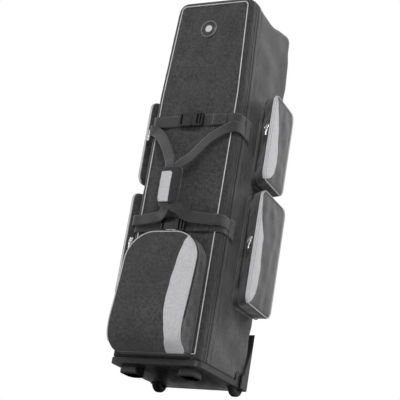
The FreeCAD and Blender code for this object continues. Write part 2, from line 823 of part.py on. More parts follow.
def anchor_tabs(word, side):
    """Sewn ends of the straps on the shell, just behind the seam."""
    low, high = mirrored(side, half + zip_tape_thickness + clearance, half + 6)
    begin = seam + 2 * seam_gap
    tabs = []
    reach = strap_width / 2
    for level, bottom, top in (("Upper", upper_band_height, upper_strap_height),
                               ("Lower", lower_strap_height, lower_band_height)):
        tabs.append(prism(f"Anchor{level}{word}", "XY",
                          box(low, high, begin, begin + anchor_length),
                          bottom - reach, top + reach))
    piece("anchor_tabs_" + word, fuse("AnchorTabs" + word, *tabs))


# ---------------------------------------------------------------- carry handle

def band_side_view(thickness):
    """Side view of the drooping webbing, from the upper anchor to the lower one."""
    reach = front - grip_reach
    start = front - band_gap - thickness
    turn = strap_width / 2
    grip_high = grip_height + grip_length / 2 + 22
    grip_low = grip_height - grip_length / 2 - 2
    face = [(start, upper_band_height + turn), (start, upper_band_height - turn),
            (reach, grip_high), (reach, grip_low),
            (start - 11, lower_band_height + turn), (start - 1, lower_band_height - turn)]
    behind = [(y + thickness, z) for y, z in reversed(face)]
    return face + behind


def band_front_view(side):
    """Front view of one webbing band, from its side anchors in to the grip."""
    outer = half + band_gap + band_thickness
    inner = carry_band_width - 8
    centre = -grip_offset
    upper_high = upper_band_height + strap_width / 2
    upper_low = upper_band_height - strap_width / 2
    lower_high = lower_band_height + strap_width / 2
    lower_low = lower_band_height - strap_width / 2
    grip_high = grip_height + grip_length / 2
    grip_low = grip_height - grip_length / 2
    inside = centre + side * 1
    outside = centre + side * inner
    edge = side * outer
    return [(edge, upper_high), (inside, grip_high + 34), (inside, grip_low - 14),
            (edge, lower_low), (edge, lower_high), (outside, grip_low - 2),
            (outside, grip_high - 4), (edge, upper_low)]


def carry_band(word, side):
    name = "Band" + word
    deep = front - grip_reach - 20
    slab = prism(name + "Slab", "YZ", band_side_view(band_thickness), -half - 20, half + 20)
    shape = prism(name + "Shape", "XZ", band_front_view(side), deep, front + 5)
    parts = [common(name + "Web", slab, shape)]
    low, high = mirrored(side, half + band_gap, half + band_gap + band_thickness)
    for level, height, run in (("Upper", upper_band_height, 0), ("Lower", lower_band_height, 11)):
        begin = front - band_gap - band_thickness - run
        parts.append(prism(name + level, "XY", box(low, high, begin, seam - 2 * seam_gap),
                           height - strap_width / 2, height + strap_width / 2))
    piece("carry_band_" + word, fuse(name + "Whole", *parts))


def grip_wrap():
    """Padded wrap that holds the two bands together at the hand."""
    wide = grip_width / 2
    tall = grip_length / 2
    centre = -grip_offset
    near = front - grip_reach + grip_thickness / 2
    far = near - grip_thickness
    outer = prism("GripOuter", "XZ",
                  box(centre - wide, centre + wide, grip_height - tall, grip_height + tall),
                  far, near, [(10, along(1))])
    room = prism("GripRoom", "XZ",
                 box(centre - wide + 3, centre + wide - 3, grip_height - tall - 2,
                     grip_height + tall + 2),
                 front - grip_reach - clearance, front - grip_reach + band_thickness + clearance)
    piece("grip_wrap", cut("GripCut", outer, room))


def build():
    shell()
    lid_panel()
    zip_track("zip_track_shell", seam + seam_gap, seam + zip_tape_width)
    zip_track("zip_track_lid", seam - zip_tape_width, seam - seam_gap)
    lid_piping()
    emblem()
    liner()
    back_board()
    yoke()
    back_handle()
    base_tray()
    rear_guard()
    for word, side in SIDES:
        wheel_housing(word, side)
        wheel(word, side)
        foot(word, side)
        anchor_tabs(word, side)
        carry_band(word, side)
        for pocket in POCKETS:
            side_pocket(*pocket, word, side)
    shoe_pocket()
    shoe_piping()
    shoe_zip()
    main_zip()
    for level, height in (("upper", upper_strap_height), ("lower", lower_strap_height)):
        strap(level, height)
        buckle(level, height)
    grip_wrap()


def check_and_write():
    DOC.recompute()
    for item in DOC.Objects:
        if any(word in item.State for word in ("Invalid", "Error")):
            raise RuntimeError(f"{item.Name} is broken: {item.State}")
    os.makedirs("parts", exist_ok=True)
    for item in PIECES:
        shape = item.Shape
        if shape.isNull() or not shape.isValid() or not shape.Solids:
            raise RuntimeError(f"{item.Label} has no sound solid")
        print(f"{item.Label}: {len(shape.Solids)} solid(s), {shape.Volume / 1000:.1f} cm3")
        shape.exportStep(f"parts/{item.Label}.step")
    print(f"{len(PIECES)} pieces written")


build()
check_and_write()
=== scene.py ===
import json
import math

import bmesh
import bpy
import numpy as np
from mathutils import Matrix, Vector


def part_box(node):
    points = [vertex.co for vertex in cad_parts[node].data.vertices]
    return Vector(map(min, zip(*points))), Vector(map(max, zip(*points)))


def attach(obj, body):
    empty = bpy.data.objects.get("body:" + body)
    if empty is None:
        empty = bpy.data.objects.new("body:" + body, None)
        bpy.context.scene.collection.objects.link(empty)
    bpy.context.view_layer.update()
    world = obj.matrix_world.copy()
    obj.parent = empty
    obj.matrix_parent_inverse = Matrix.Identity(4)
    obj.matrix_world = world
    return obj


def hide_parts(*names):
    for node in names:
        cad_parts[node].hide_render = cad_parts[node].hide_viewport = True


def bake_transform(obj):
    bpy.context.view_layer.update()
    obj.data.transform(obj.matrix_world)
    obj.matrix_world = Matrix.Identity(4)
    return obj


bl_info = {
    "name": "Golf Travel Case",
    "version": (1, 0, 0),
    "blender": (4, 5, 0),
    "location": "3D View > Sidebar > Travel Case",
    "description": "Sews the padded skins, webbing, zips and trim of a golf travel case onto its frame",
    "category": "Add Mesh",
}

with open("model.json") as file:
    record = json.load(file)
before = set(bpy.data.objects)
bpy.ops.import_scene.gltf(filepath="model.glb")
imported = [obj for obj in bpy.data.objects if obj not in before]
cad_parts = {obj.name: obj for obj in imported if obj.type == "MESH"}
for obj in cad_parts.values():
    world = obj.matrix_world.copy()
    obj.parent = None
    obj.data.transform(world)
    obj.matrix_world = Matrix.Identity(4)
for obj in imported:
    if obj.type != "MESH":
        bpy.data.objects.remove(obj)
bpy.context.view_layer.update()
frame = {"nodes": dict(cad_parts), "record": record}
NODES = frame["nodes"]
SIDES = (("left", -1), ("right", 1))
LEVELS = ("upper", "lower")


def span(node):
    """Lowest and highest corner of a frame node as two arrays."""
    low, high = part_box(node)
    return np.array(low), np.array(high)


LID_LOW, LID_HIGH = span("lid_panel")
SHELL_LOW, SHELL_HIGH = span("shell")
LINER_LOW, LINER_HIGH = span("liner")
HALF = LID_HIGH[0]
BOTTOM, TOP = LID_LOW[2], LID_HIGH[2]
FRONT, SEAM_LID = LID_LOW[1], LID_HIGH[1]
SEAM_SHELL, BACK = SHELL_LOW[1], SHELL_HIGH[1]
TAPER_START = 0.940         # height where the sides start to lean in
TOP_NARROWING = 0.016       # how much narrower each side is at the top
TOP_HALF = HALF - TOP_NARROWING


# ---------------------------------------------------------------- settings

def length_setting(label, words, default):
    return bpy.props.FloatProperty(name=label, description=words, default=default,
                                   subtype="DISTANCE", unit="LENGTH")


def share_setting(label, words, default):
    return bpy.props.FloatProperty(name=label, description=words, default=default,
                                   min=0.0, max=1.0, subtype="FACTOR")


def colour_setting(label, words, default):
    return bpy.props.FloatVectorProperty(name=label, description=words, default=default,
                                         size=3, min=0.0, max=1.0, subtype="COLOR")


class CaseSizes(bpy.types.PropertyGroup):
    fabric_step: length_setting("Skin grid", "Spacing of the grid the skins are made on", 0.006)
    crown: length_setting("Lid crown", "How far the padded lid swells between its straps", 0.004)
    wrinkle: length_setting("Wrinkle height", "Height of the soft unevenness in the fabric", 0.0026)
    piping_radius: length_setting("Piping radius", "Half the thickness of the sewn cord", 0.0019)
    webbing_thickness: length_setting("Webbing thickness", "Thickness of straps and bands", 0.0024)
    tooth_pitch: length_setting("Tooth pitch", "Distance from one zip tooth to the next", 0.0032)
    stitch_pitch: length_setting("Stitch pitch", "Distance from one stitch to the next", 0.0055)


class CaseColours(bpy.types.PropertyGroup):
    fabric: colour_setting("Body fabric", "Black woven polyester", (0.034, 0.034, 0.036))
    panel: colour_setting("Panel fabric", "Light inset panels", (0.47, 0.465, 0.485))
    webbing: colour_setting("Webbing", "Straps and bands", (0.024, 0.024, 0.025))
    piping: colour_setting("Piping", "Sewn cord round the panels", (0.50, 0.50, 0.51))
    metal: colour_setting("Zip metal", "Sliders and rings", (0.80, 0.80, 0.81))
    plastic: colour_setting("Moulded base", "Tray, housings and feet", (0.014, 0.014, 0.015))
    guard: colour_setting("Rear guard", "Skid plate round the wheels", (0.034, 0.034, 0.036))
    lining: colour_setting("Lining", "Foam and lining cloth inside", (0.11, 0.11, 0.115))
    sheen: share_setting("Fabric sheen", "Strength of the cloth's soft grazing light", 0.30)


def sizes():
    return bpy.context.scene.case_sizes


def colours():
    return bpy.context.scene.case_colours


# ---------------------------------------------------------------- materials

class Shading:
    """A material's node tree, built up one node at a time."""

    def __init__(self, name, roughness, metallic=0.0):
        self.material = bpy.data.materials.new(name)
        self.material.use_nodes = True
        self.tree = self.material.node_tree
        self.shader = self.tree.nodes["Principled BSDF"]
        self.shader.inputs["Roughness"].default_value = roughness
        self.shader.inputs["Metallic"].default_value = metallic
        self.place = self.node("ShaderNodeTexCoord").outputs["Object"]

    def node(self, kind, links=None, **settings):
        node = self.tree.nodes.new(kind)
        for key, value in settings.items():
            setattr(node, key, value)
        for key, value in (links or {}).items():
            if isinstance(value, bpy.types.NodeSocket):
                self.tree.links.new(value, node.inputs[key])
            else:
                node.inputs[key].default_value = value
        return node

    def noise(self, scale, detail=3.0, where=None):
        return self.node("ShaderNodeTexNoise", {"Vector": where or self.place, "Scale": scale,
                                                "Detail": detail}).outputs["Fac"]

    def stretch(self, factors, where=None):
        return self.node("ShaderNodeMapping", {"Vector": where or self.place,
                                               "Scale": factors}).outputs["Vector"]

    def maths(self, operation, one, two=0.0, three=0.0):
        node = self.node("ShaderNodeMath", {0: one, 1: two, 2: three}, operation=operation)
        return node.outputs[0]

    def remap(self, value, low, high, to_low, to_high):
        return self.node("ShaderNodeMapRange", {"Value": value, "From Min": low, "From Max": high,
                                                "To Min": to_low, "To Max": to_high}).outputs[0]

    def mix(self, share, one, two):
        node = self.node("ShaderNodeMix", {"Factor": share}, data_type="RGBA")
        for index, value in ((6, one), (7, two)):
            if isinstance(value, bpy.types.NodeSocket):
                self.tree.links.new(value, node.inputs[index])
            else:
                node.inputs[index].default_value = (*value, 1.0)
        return node.outputs[2]

    def tint(self, colour, strength):
        """Colour times a strength worked out by other nodes."""
        dark = tuple(0.0 for _ in colour)
        return self.mix(strength, dark, colour)

    def colour(self, socket):
        self.tree.links.new(socket, self.shader.inputs["Base Color"])

    def rough(self, socket):
        self.tree.links.new(socket, self.shader.inputs["Roughness"])

    def bump(self, height, distance, strength=1.0, normal=None):
        links = {"Height": height, "Distance": distance, "Strength": strength}
        if normal is not None:
            links["Normal"] = normal
        out = self.node("ShaderNodeBump", links).outputs["Normal"]
        self.tree.links.new(out, self.shader.inputs["Normal"])
        return out

    def sheen(self, amount, roughness=0.45):
        self.shader.inputs["Sheen Weight"].default_value = amount
        self.shader.inputs["Sheen Roughness"].default_value = roughness


def weave_height(shading, per_metre):
    """Plain weave: the product of two sine waves across each other, on all three axes."""
    parts = shading.node("ShaderNodeSeparateXYZ", {"Vector": shading.place}).outputs
    across = shading.maths("ADD", parts["X"], parts["Y"])
    one = shading.maths("SINE", shading.maths("MULTIPLY", across, per_metre * 2 * math.pi))
    two = shading.maths("SINE", shading.maths("MULTIPLY", parts["Z"], per_metre * 2 * math.pi))
    return shading.maths("MULTIPLY", one, two)


def cloth(name, colour, mottle=0.75, panel=None, border=False, weave=700.0):
    """Woven polyester: fine weave, mottled yarn, broad patches of painted light and shade, soft creases and
    a sheen.
    Where the skin carries a 'panel' distance above zero it takes the panel colour."""
    shading = Shading(name, 0.78)
    fine = shading.noise(135.0, 4.0)
    broad = shading.noise(9.0, 4.0)
    grain = shading.remap(fine, 0.32, 0.68, 1.0 - mottle, 1.0 + mottle * 0.5)
    # Broad patches lighter and darker than the cloth's own colour: painted light and shade standing in for
    # the shading of folds.
    painted_light_and_shade = shading.remap(broad, 0.3, 0.7, 0.62, 1.18)
    strength = shading.maths("MULTIPLY", grain, painted_light_and_shade)
    base = colour
    even = shading.remap(fine, 0.32, 0.68, 0.88, 1.06)
    if border:
        edge = shading.node("ShaderNodeAttribute", attribute_name="border").outputs["Fac"]
        dark = shading.maths("GREATER_THAN", edge, 0.0)
        base = shading.mix(dark, colour, tuple(0.72 * part for part in colour))
    if panel is not None:
        inside = shading.node("ShaderNodeAttribute", attribute_name="panel").outputs["Fac"]
        share = shading.remap(inside, -0.0006, 0.0006, 0.0, 1.0)
        base = shading.mix(share, base, panel)
        strength = shading.remap(share, 0.0, 1.0, strength, even)
    scaled = shading.node("ShaderNodeVectorMath", {0: base, "Scale": strength},
                          operation="SCALE").outputs[0]
    shading.colour(scaled)
    relief = weave_height(shading, weave)
    first = shading.bump(relief, 0.00025, 0.5)
    creases = shading.noise(26.0, 5.0, shading.stretch((1.0, 1.0, 0.55)))
    shading.bump(creases, 0.006, 0.35, first)
    shading.rough(shading.remap(broad, 0.3, 0.7, 0.70, 0.85))
    shading.sheen(colours().sheen)
    return shading.material


def webbing_material(name, colour):
    """Ribbed webbing: ribs run along the strip's own length, picks run across it."""
    shading = Shading(name, 0.62)
    strip = shading.node("ShaderNodeUVMap", uv_map="strip").outputs["UV"]
    parts = shading.node("ShaderNodeSeparateXYZ", {"Vector": strip}).outputs
    ribs = shading.maths("SINE", shading.maths("MULTIPLY", parts["X"], 2 * math.pi * 330.0))
    picks = shading.maths("SINE", shading.maths("MULTIPLY", parts["Y"], 2 * math.pi * 520.0))
    relief = shading.maths("ADD", ribs, shading.maths("MULTIPLY", picks, 0.45))
    # Colour darker in the grooves between ribs and picks: painted shade following the relief.
    strength = shading.remap(relief, -1.45, 1.45, 0.62, 1.0)
    fuzz = shading.remap(shading.noise(700.0), 0.3, 0.7, 0.82, 1.0)
    shading.colour(shading.tint(colour, shading.maths("MULTIPLY", strength, fuzz)))
    shading.bump(relief, 0.0005, 0.8)
    shading.sheen(0.45, 0.4)
    return shading.material


def plastic(name, colour, roughness, pebble=0.0, scuff=0.3):
    """Moulded plastic: pebbled grain, faint flow marks, pale scuffs in streaks."""
    shading = Shading(name, roughness)
    flow = shading.noise(9.0, 4.0)
    tone = shading.remap(flow, 0.3, 0.7, 0.85, 1.0)
    scratches = shading.noise(55.0, 6.0, shading.stretch((1.0, 0.35, 3.0)))
    worn = shading.remap(scratches, 0.62, 0.75, 0.0, scuff)
    pale = tuple(min(1.0, part * 2.2 + 0.02) for part in colour)
    shading.colour(shading.mix(worn, shading.tint(colour, tone), pale))
    shading.rough(shading.remap(scratches, 0.4, 0.7, roughness, min(1.0, roughness + 0.18)))
    if pebble:
        grain = shading.node("ShaderNodeTexVoronoi", {"Vector": shading.place, "Scale": pebble})
        shading.bump(grain.outputs["Distance"], 0.0006, 0.6)
    else:
        shading.bump(scratches, 0.0003, 0.25)
    return shading.material


def metal(name, colour, roughness):
    """Plated metal: fine brushing and a few dull rubbed spots."""
    shading = Shading(name, roughness, 1.0)
    brushed = shading.noise(420.0, 3.0, shading.stretch((1.0, 1.0, 0.15)))
    dull = shading.noise(90.0, 3.0)
    shading.colour(shading.tint(colour, shading.remap(dull, 0.3, 0.7, 0.82, 1.0)))
    shading.rough(shading.remap(brushed, 0.3, 0.7, roughness, roughness + 0.14))
    shading.bump(brushed, 0.0001, 0.4)
    return shading.material


def rubber(name, colour):
    """Matt rubber with a dusty bloom and fine grain."""
    shading = Shading(name, 0.8)
    dust = shading.remap(shading.noise(60.0, 5.0), 0.45, 0.75, 0.0, 0.35)
    pale = tuple(part + 0.06 for part in colour)
    shading.colour(shading.mix(dust, colour, pale))
    shading.bump(shading.noise(600.0, 2.0), 0.0002, 0.5)
    return shading.material


def cord_material(name, colour):
    """Vinyl-covered cord: satin, a little grimy, with a light twist of grain."""
    shading = Shading(name, 0.42)
    grime = shading.remap(shading.noise(38.0, 4.0), 0.35, 0.7, 0.78, 1.0)
    shading.colour(shading.tint(colour, grime))
    shading.bump(shading.noise(500.0, 2.0), 0.0002, 0.4)
    return shading.material


FINISHES = {}


def finish(name):
    """The named finish, made once and shared."""
    return FINISHES[name]


def make_finishes():
    paint = colours()
    fabric, panel = tuple(paint.fabric), tuple(paint.panel)
    FINISHES.update({
        "body_fabric": cloth("Body fabric", fabric, border=True),
        "pocket_fabric": cloth("Pocket fabric", fabric, panel=panel),
        # The grip's cloth is a quarter of the body fabric's colour: the wrap's black side panel, darkened
        # further as painted shade.
        "grip_fabric": cloth("Grip fabric", tuple(0.25 * c for c in fabric), panel=panel),
        "zip_tape": cloth("Zip tape", tuple(0.45 * c for c in fabric), weave=420.0),
        "foam": cloth("Quilted lining", tuple(paint.lining), mottle=0.2),
        "thread": cloth("Stitch thread", (0.016, 0.016, 0.017), weave=1500.0),
        "pale_thread": cloth("Pale thread", (0.10, 0.10, 0.104), weave=1500.0),
        "webbing": webbing_material("Webbing", tuple(paint.webbing)),
        "patch": webbing_material("Dark webbing", tuple(0.5 * c for c in paint.webbing)),
        "piping": cord_material("Piping", tuple(paint.piping)),
        "zip_metal": metal("Zip metal", tuple(paint.metal), 0.18),
        "axle_steel": metal("Axle steel", (0.55, 0.55, 0.56), 0.28),
        "teeth": plastic("Zip teeth", (0.02, 0.02, 0.021), 0.35, scuff=0.1),
        "pull_rubber": rubber("Pull rubber", (0.018, 0.018, 0.019)),
        "wheel_rubber": rubber("Wheel rubber", (0.012, 0.012, 0.012)),
        "hub_plastic": plastic("Hub plastic", (0.03, 0.03, 0.032), 0.45, scuff=0.2),
        "buckle_plastic": plastic("Buckle plastic", (0.016, 0.016, 0.017), 0.18, scuff=0.12),
        "guard_plastic": plastic("Guard plastic", tuple(paint.guard), 0.52, pebble=260.0),
        "base_plastic": plastic("Base plastic", tuple(paint.plastic), 0.42, pebble=220.0),
        "foot_plastic": plastic("Foot plastic", (0.02, 0.02, 0.021), 0.2, scuff=0.25),
        "board_plastic": plastic("Board plastic", (0.08, 0.08, 0.082), 0.5),
        "emblem_plastic": plastic("Emblem plastic", (0.03, 0.03, 0.032), 0.35, scuff=0.1),
        "emblem_pale": plastic("Emblem pale", (0.50, 0.50, 0.51), 0.35, scuff=0.1),
        "emblem_grey": plastic("Emblem grey", (0.17, 0.17, 0.174), 0.3, scuff=0.1),
    })


# ---------------------------------------------------------------- meshes

def grid_faces(rows, columns, closed_columns=True, closed_rows=False):
    """Quads joining each grid point to its neighbours along both parameters."""
    row = np.arange(rows if closed_rows else rows - 1)
    column = np.arange(columns if closed_columns else columns - 1)
    row, column = np.meshgrid(row, column, indexing="ij")
    below, beside = (row + 1) % rows, (column + 1) % columns
    corners = (row * columns + column, row * columns + beside,
               below * columns + beside, below * columns + column)
    return np.stack(corners, -1).reshape(-1, 4)


def build_mesh(name, points, faces, attributes=None, strip=None):
    """A mesh from whole arrays; doubled points are merged and faces turned outwards."""
    mesh = bpy.data.meshes.new(name)
    points = np.asarray(points, float).reshape(-1, 3)
    faces = faces.tolist() if isinstance(faces, np.ndarray) else faces
    mesh.from_pydata(points.tolist(), [], faces)
    for key, values in (attributes or {}).items():
        layer = mesh.attributes.new(key, "FLOAT", "POINT")
        layer.data.foreach_set("value", np.asarray(values, np.float32).ravel())
    if strip is not None:
        layer = mesh.uv_layers.new(name="strip")
        corner = np.zeros(len(mesh.loops), np.int32)
        mesh.loops.foreach_get("vertex_index", corner)
        layer.data.foreach_set("uv", np.asarray(strip, np.float32).reshape(-1, 2)[corner].ravel())
    work = bmesh.new()
    work.from_mesh(mesh)
    bmesh.ops.remove_doubles(work, verts=work.verts, dist=1e-5)
    bmesh.ops.recalc_face_normals(work, faces=work.faces)
    work.to_mesh(mesh)
    work.free()
    mesh.shade_smooth()
    return mesh


def add_piece(name, mesh, material, body, replaced=(), slot=None, wall=0.0):
    """Links a finished mesh as a piece of the case and sets what it rides on."""
    piece = bpy.data.objects.new(name, mesh)
    bpy.context.scene.collection.objects.link(piece)
    for entry in material if isinstance(material, (list, tuple)) else (material,):
        mesh.materials.append(finish(entry))
    first = material[0] if isinstance(material, (list, tuple)) else material
    if wall:
        solid = piece.modifiers.new("Wall", "SOLIDIFY")
        solid.thickness = wall
        solid.offset = -1.0
    if body:
        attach(piece, body)
    if replaced:
        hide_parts(*replaced)
    known = {entry["slot"] for entry in frame["record"]["materials"]}
    if (slot or first) in known:
        slot or first
    return piece


def ripple(across, along, scale, seed, waves=9):
    """Soft unevenness: a mean of sine waves with seeded directions, lengths and phases."""
    draw = np.random.default_rng(seed)
    total = np.zeros(np.broadcast(across, along).shape)
    for _ in range(waves):
        turn, phase = draw.uniform(0, math.pi), draw.uniform(0, 2 * math.pi)
        rate = 2 * math.pi / scale * draw.uniform(0.55, 1.8)
        total += np.sin(rate * (across * math.cos(turn) + along * math.sin(turn)) + phase)
    return total / math.sqrt(waves)


def swell(points, outward, amount):
    """Moves grid points along the surface normal, the cross product of the grid's two slopes."""
    rows = np.gradient(points, axis=0)
    columns = np.roll(points, -1, 1) - np.roll(points, 1, 1)
    normal = np.cross(rows, columns)
    size = np.linalg.norm(normal, axis=-1, keepdims=True)
    normal = normal / np.maximum(size, 1e-12)
    facing = np.sign(np.sum(normal * outward, -1, keepdims=True).sum())
    return points + normal * facing * amount[..., None]


def edge_counts(corners, step):
    corners = np.asarray(corners, float)
    runs = np.linalg.norm(np.roll(corners, -1, 0) - corners, axis=1)
    return np.maximum(2, np.ceil(runs / step)).astype(int)


def rounded_loop(corners, radii, counts, arc=8):
    """Closed outline: straight runs between corners, each corner a circular arc that meets
    both runs smoothly. The arc is the slerp between its two end radii."""
    corners = np.asarray(corners, float)
    radii = np.broadcast_to(np.asarray(radii, float), len(corners))[:, None]
    to_last = np.roll(corners, 1, 0) - corners
    to_next = np.roll(corners, -1, 0) - corners
    to_last /= np.linalg.norm(to_last, axis=1, keepdims=True)
    to_next /= np.linalg.norm(to_next, axis=1, keepdims=True)
    half_angle = 0.5 * np.arccos(np.clip(np.sum(to_last * to_next, 1), -1, 1))[:, None]
    middle = to_last + to_next
    middle /= np.maximum(np.linalg.norm(middle, axis=1, keepdims=True), 1e-9)
    centre = corners + middle * radii / np.sin(half_angle)
    start = corners + to_last * radii / np.tan(half_angle)
    end = corners + to_next * radii / np.tan(half_angle)
    sweep = math.pi - 2 * half_angle
    pieces = []
    share = np.linspace(0, 1, arc + 1)[:, None]
    for index in range(len(corners)):
        turn = sweep[index]
        spread = np.sin((1 - share) * turn) * (start[index] - centre[index]) \
            + np.sin(share * turn) * (end[index] - centre[index])
        pieces.append(centre[index] + spread / np.sin(turn))
        run = np.linspace(0, 1, counts[index] + 1)[1:-1, None]
        following = start[(index + 1) % len(corners)]
        pieces.append(end[index] * (1 - run) + following * run)
    return np.concatenate(pieces)


def body_corners(inset):
    """Front view of the case: straight sides that narrow towards the top."""
    wide, narrow = HALF - inset, TOP_HALF - inset
    low, high = BOTTOM + inset, TOP - inset
    right = [(wide, low), (wide, TAPER_START), (narrow, high)]
    left = [(-x, z) for x, z in reversed(right)]
    return right + left


def body_loop(inset):
    """Rounded outline of the case drawn in by an inset."""
    counts = edge_counts(body_corners(0), sizes().fabric_step)
    side = [max(0.010 - inset, 0.003), 0.7, max(0.036 - inset, 0.006)]
    return rounded_loop(body_corners(inset), side + side[::-1], counts)


def spine_of(loop, keep):
    """The line the inner rings shrink to: the outline's middle, short of both ends."""
    low, high = loop[:, 1].min() + keep, loop[:, 1].max() - keep
    return np.stack([np.zeros(len(loop)), np.clip(loop[:, 1], low, high)], -1)


def sheet_of_rings(rings, loop_at, fill_steps, keep):
    """Surface of two parameters: along the outline, and from the rim inwards. Each rim ring
    has an inset and a depth; the rest shrink evenly from the last ring to the spine."""
    sides = np.stack([np.insert(loop_at(inset), 1, depth, axis=1) for inset, depth in rings])
    last = loop_at(rings[-1][0])
    spine = spine_of(last, keep)
    share = np.linspace(0, 1, fill_steps + 1)[1:, None, None]
    flat = last[None] * (1 - share) + spine[None] * share
    inner = np.insert(flat, 1, rings[-1][1], axis=2)
    return np.concatenate([sides, inner])


def rim_rings(edge, face, radius, steps=6):
    """Rings from an open rim at one depth, along the wall and round the edge to the face."""
    toward = np.sign(face - edge)
    wall = np.linspace(edge, face - toward * radius, 7)
    turn = np.linspace(0, math.pi / 2, steps + 1)[1:]
    rings = [(0.0, depth) for depth in wall]
    rings += [(radius * (1 - math.cos(t)), face - toward * radius * (1 - math.sin(t)))
              for t in turn]
    return rings


def path_frames(path, closed):
    """Unit tangents of a path and its running length."""
    if closed:
        ahead = np.roll(path, -1, 0) - np.roll(path, 1, 0)
    else:
        ahead = np.gradient(path, axis=0)
    tangent = ahead / np.maximum(np.linalg.norm(ahead, axis=1, keepdims=True), 1e-12)
    run = np.r_[0.0, np.cumsum(np.linalg.norm(np.diff(path, axis=0), axis=1))]
    return tangent, run


def tube(path, outward, radius, closed=True, sides=8):
    """Round cord: a circle carried along a path, square to the path's direction."""
    tangent, _ = path_frames(path, closed)
    outward = outward - tangent * np.sum(outward * tangent, 1, keepdims=True)
    outward /= np.linalg.norm(outward, axis=1, keepdims=True)
    across = np.cross(tangent, outward)
    turn = np.linspace(0, 2 * math.pi, sides, endpoint=False)[None, :, None]
    rings = path[:, None] + radius * (np.cos(turn) * outward[:, None]
                                      + np.sin(turn) * across[:, None])
    faces = grid_faces(len(path), sides, True, closed)
    if closed:
        return rings.reshape(-1, 3), faces.tolist()
    return closed_ends(rings, faces)


def closed_ends(rings, faces):
    """Adds a cap to the first and last ring of an open run."""
    count, sides = rings.shape[:2]
    caps = [list(range(sides))[::-1], list(range((count - 1) * sides, count * sides))]
    return rings.reshape(-1, 3), faces.tolist() + caps


def smooth_path(points, step=0.006):
    """Catmull-Rom curve through the points: each run is the cubic whose end slopes are half
    the gap between its neighbours, resampled at an even step."""
    points = np.asarray(points, float)
    padded = np.concatenate([2 * points[:1] - points[1:2], points, 2 * points[-1:] - points[-2:-1]])
    share = np.linspace(0, 1, 24, endpoint=False)[:, None]
    before, start, end, after = padded[:-3], padded[1:-2], padded[2:-1], padded[3:]
    curve = 0.5 * (2 * start[:, None] + (end - before)[:, None] * share
                   + (2 * before - 5 * start + 4 * end - after)[:, None] * share ** 2
                   + (3 * start - before - 3 * end + after)[:, None] * share ** 3)
    curve = np.concatenate([curve.reshape(-1, points.shape[1]), points[-1:]])
    run = np.r_[0.0, np.cumsum(np.linalg.norm(np.diff(curve[:, :3], axis=0), axis=1))]
    even = np.linspace(0, run[-1], max(4, int(run[-1] / step)))
    return np.stack([np.interp(even, run, column) for column in curve.T], -1)


def ribbon(path, normal, width, thickness):
    """Flat webbing: a rounded rectangle carried along a path. Its width lies square to the
    path and to the outward normal; the path is the middle of the inner face."""
    tangent, run = path_frames(path, False)
    across = np.cross(normal, tangent)
    across /= np.linalg.norm(across, axis=1, keepdims=True)
    normal = np.cross(tangent, across)
    bevel = thickness * 0.45
    side = np.linspace(-width / 2 + bevel, width / 2 - bevel, 9)
    low = np.stack([side, np.zeros(9)], -1)
    high = np.stack([side[::-1], np.full(9, thickness)], -1)
    end = np.array([[width / 2, thickness * 0.5]])
    outline = np.concatenate([low, end, high, -end * [1, -1]])
    rings = (path[:, None] + across[:, None] * outline[None, :, :1]
             + normal[:, None] * outline[None, :, 1:])
    strip = np.stack([np.broadcast_to(outline[None, :, 0], rings.shape[:2]),
                      np.broadcast_to(run[:, None], rings.shape[:2])], -1)
    points, faces = closed_ends(rings, grid_faces(len(path), len(outline), True, False))
    return points, faces, strip.reshape(-1, 2)


def join_parts(parts):
    """Several (points, faces) or (points, faces, strip) parts as one."""
    points, faces, strips, offset = [], [], [], 0
    for part in parts:
        points.append(np.asarray(part[0]).reshape(-1, 3))
        faces += [[int(index) + offset for index in face] for face in part[1]]
        strips.append(part[2] if len(part) > 2 else np.zeros((len(points[-1]), 2)))
        offset += len(points[-1])
    return np.concatenate(points), faces, np.concatenate(strips)


def even_spots(path, pitch, closed=True):
    """Points and tangents spaced evenly along a path."""
    loop = np.concatenate([path, path[:1]]) if closed else path
    run = np.r_[0.0, np.cumsum(np.linalg.norm(np.diff(loop, axis=0), axis=1))]
    spots = np.arange(pitch / 2, run[-1], pitch)
    place = np.stack([np.interp(spots, run, column) for column in loop.T], -1)
    ahead = np.stack([np.interp(spots + pitch * 0.2, run, column) for column in loop.T], -1)
    tangent = ahead - place
    return place, tangent / np.maximum(np.linalg.norm(tangent, axis=1, keepdims=True), 1e-12)


def repeat_bits(place, tangent, outward, lengths):
    """A small rounded block at every spot: eight corners and a raised ridge, sized by
    length along, width across and height out."""
    long, wide, high = (part / 2 for part in lengths)
    shape = np.array([(-long, -wide, 0), (long, -wide, 0), (long, wide, 0), (-long, wide, 0),
                      (-long * .55, -wide * .5, high), (long * .55, -wide * .5, high),
                      (long * .55, wide * .5, high), (-long * .55, wide * .5, high)])
    faces = np.array([(0, 3, 2, 1), (4, 5, 6, 7), (0, 1, 5, 4), (1, 2, 6, 5), (2, 3, 7, 6),
                      (3, 0, 4, 7)])
    across = np.cross(outward, tangent)
    across /= np.maximum(np.linalg.norm(across, axis=1, keepdims=True), 1e-12)
    axes = np.stack([tangent, across, np.broadcast_to(outward, tangent.shape)], 1)
    points = place[:, None] + np.einsum("vk,nkc->nvc", shape, axes)
    shifted = faces[None] + 8 * np.arange(len(place))[:, None, None]
    return points.reshape(-1, 3), shifted.reshape(-1, 4)


def add_stitches(name, path, outward, body, closed=False, material="thread", pitch=None):
    """A row of stitches laid along a path."""
    pitch = pitch or sizes().stitch_pitch
    place, tangent = even_spots(np.asarray(path, float), pitch, closed)
    points, faces = repeat_bits(place, tangent, outward, (pitch * 0.68, 0.0014, 0.0013))
    return add_piece(name, build_mesh(name, points, faces), material, body, slot="webbing")


def in_plane(loop, depth):
    """Outline points (across, up) stood up in the front plane at one depth."""
    return np.insert(loop, 1, depth, axis=1)


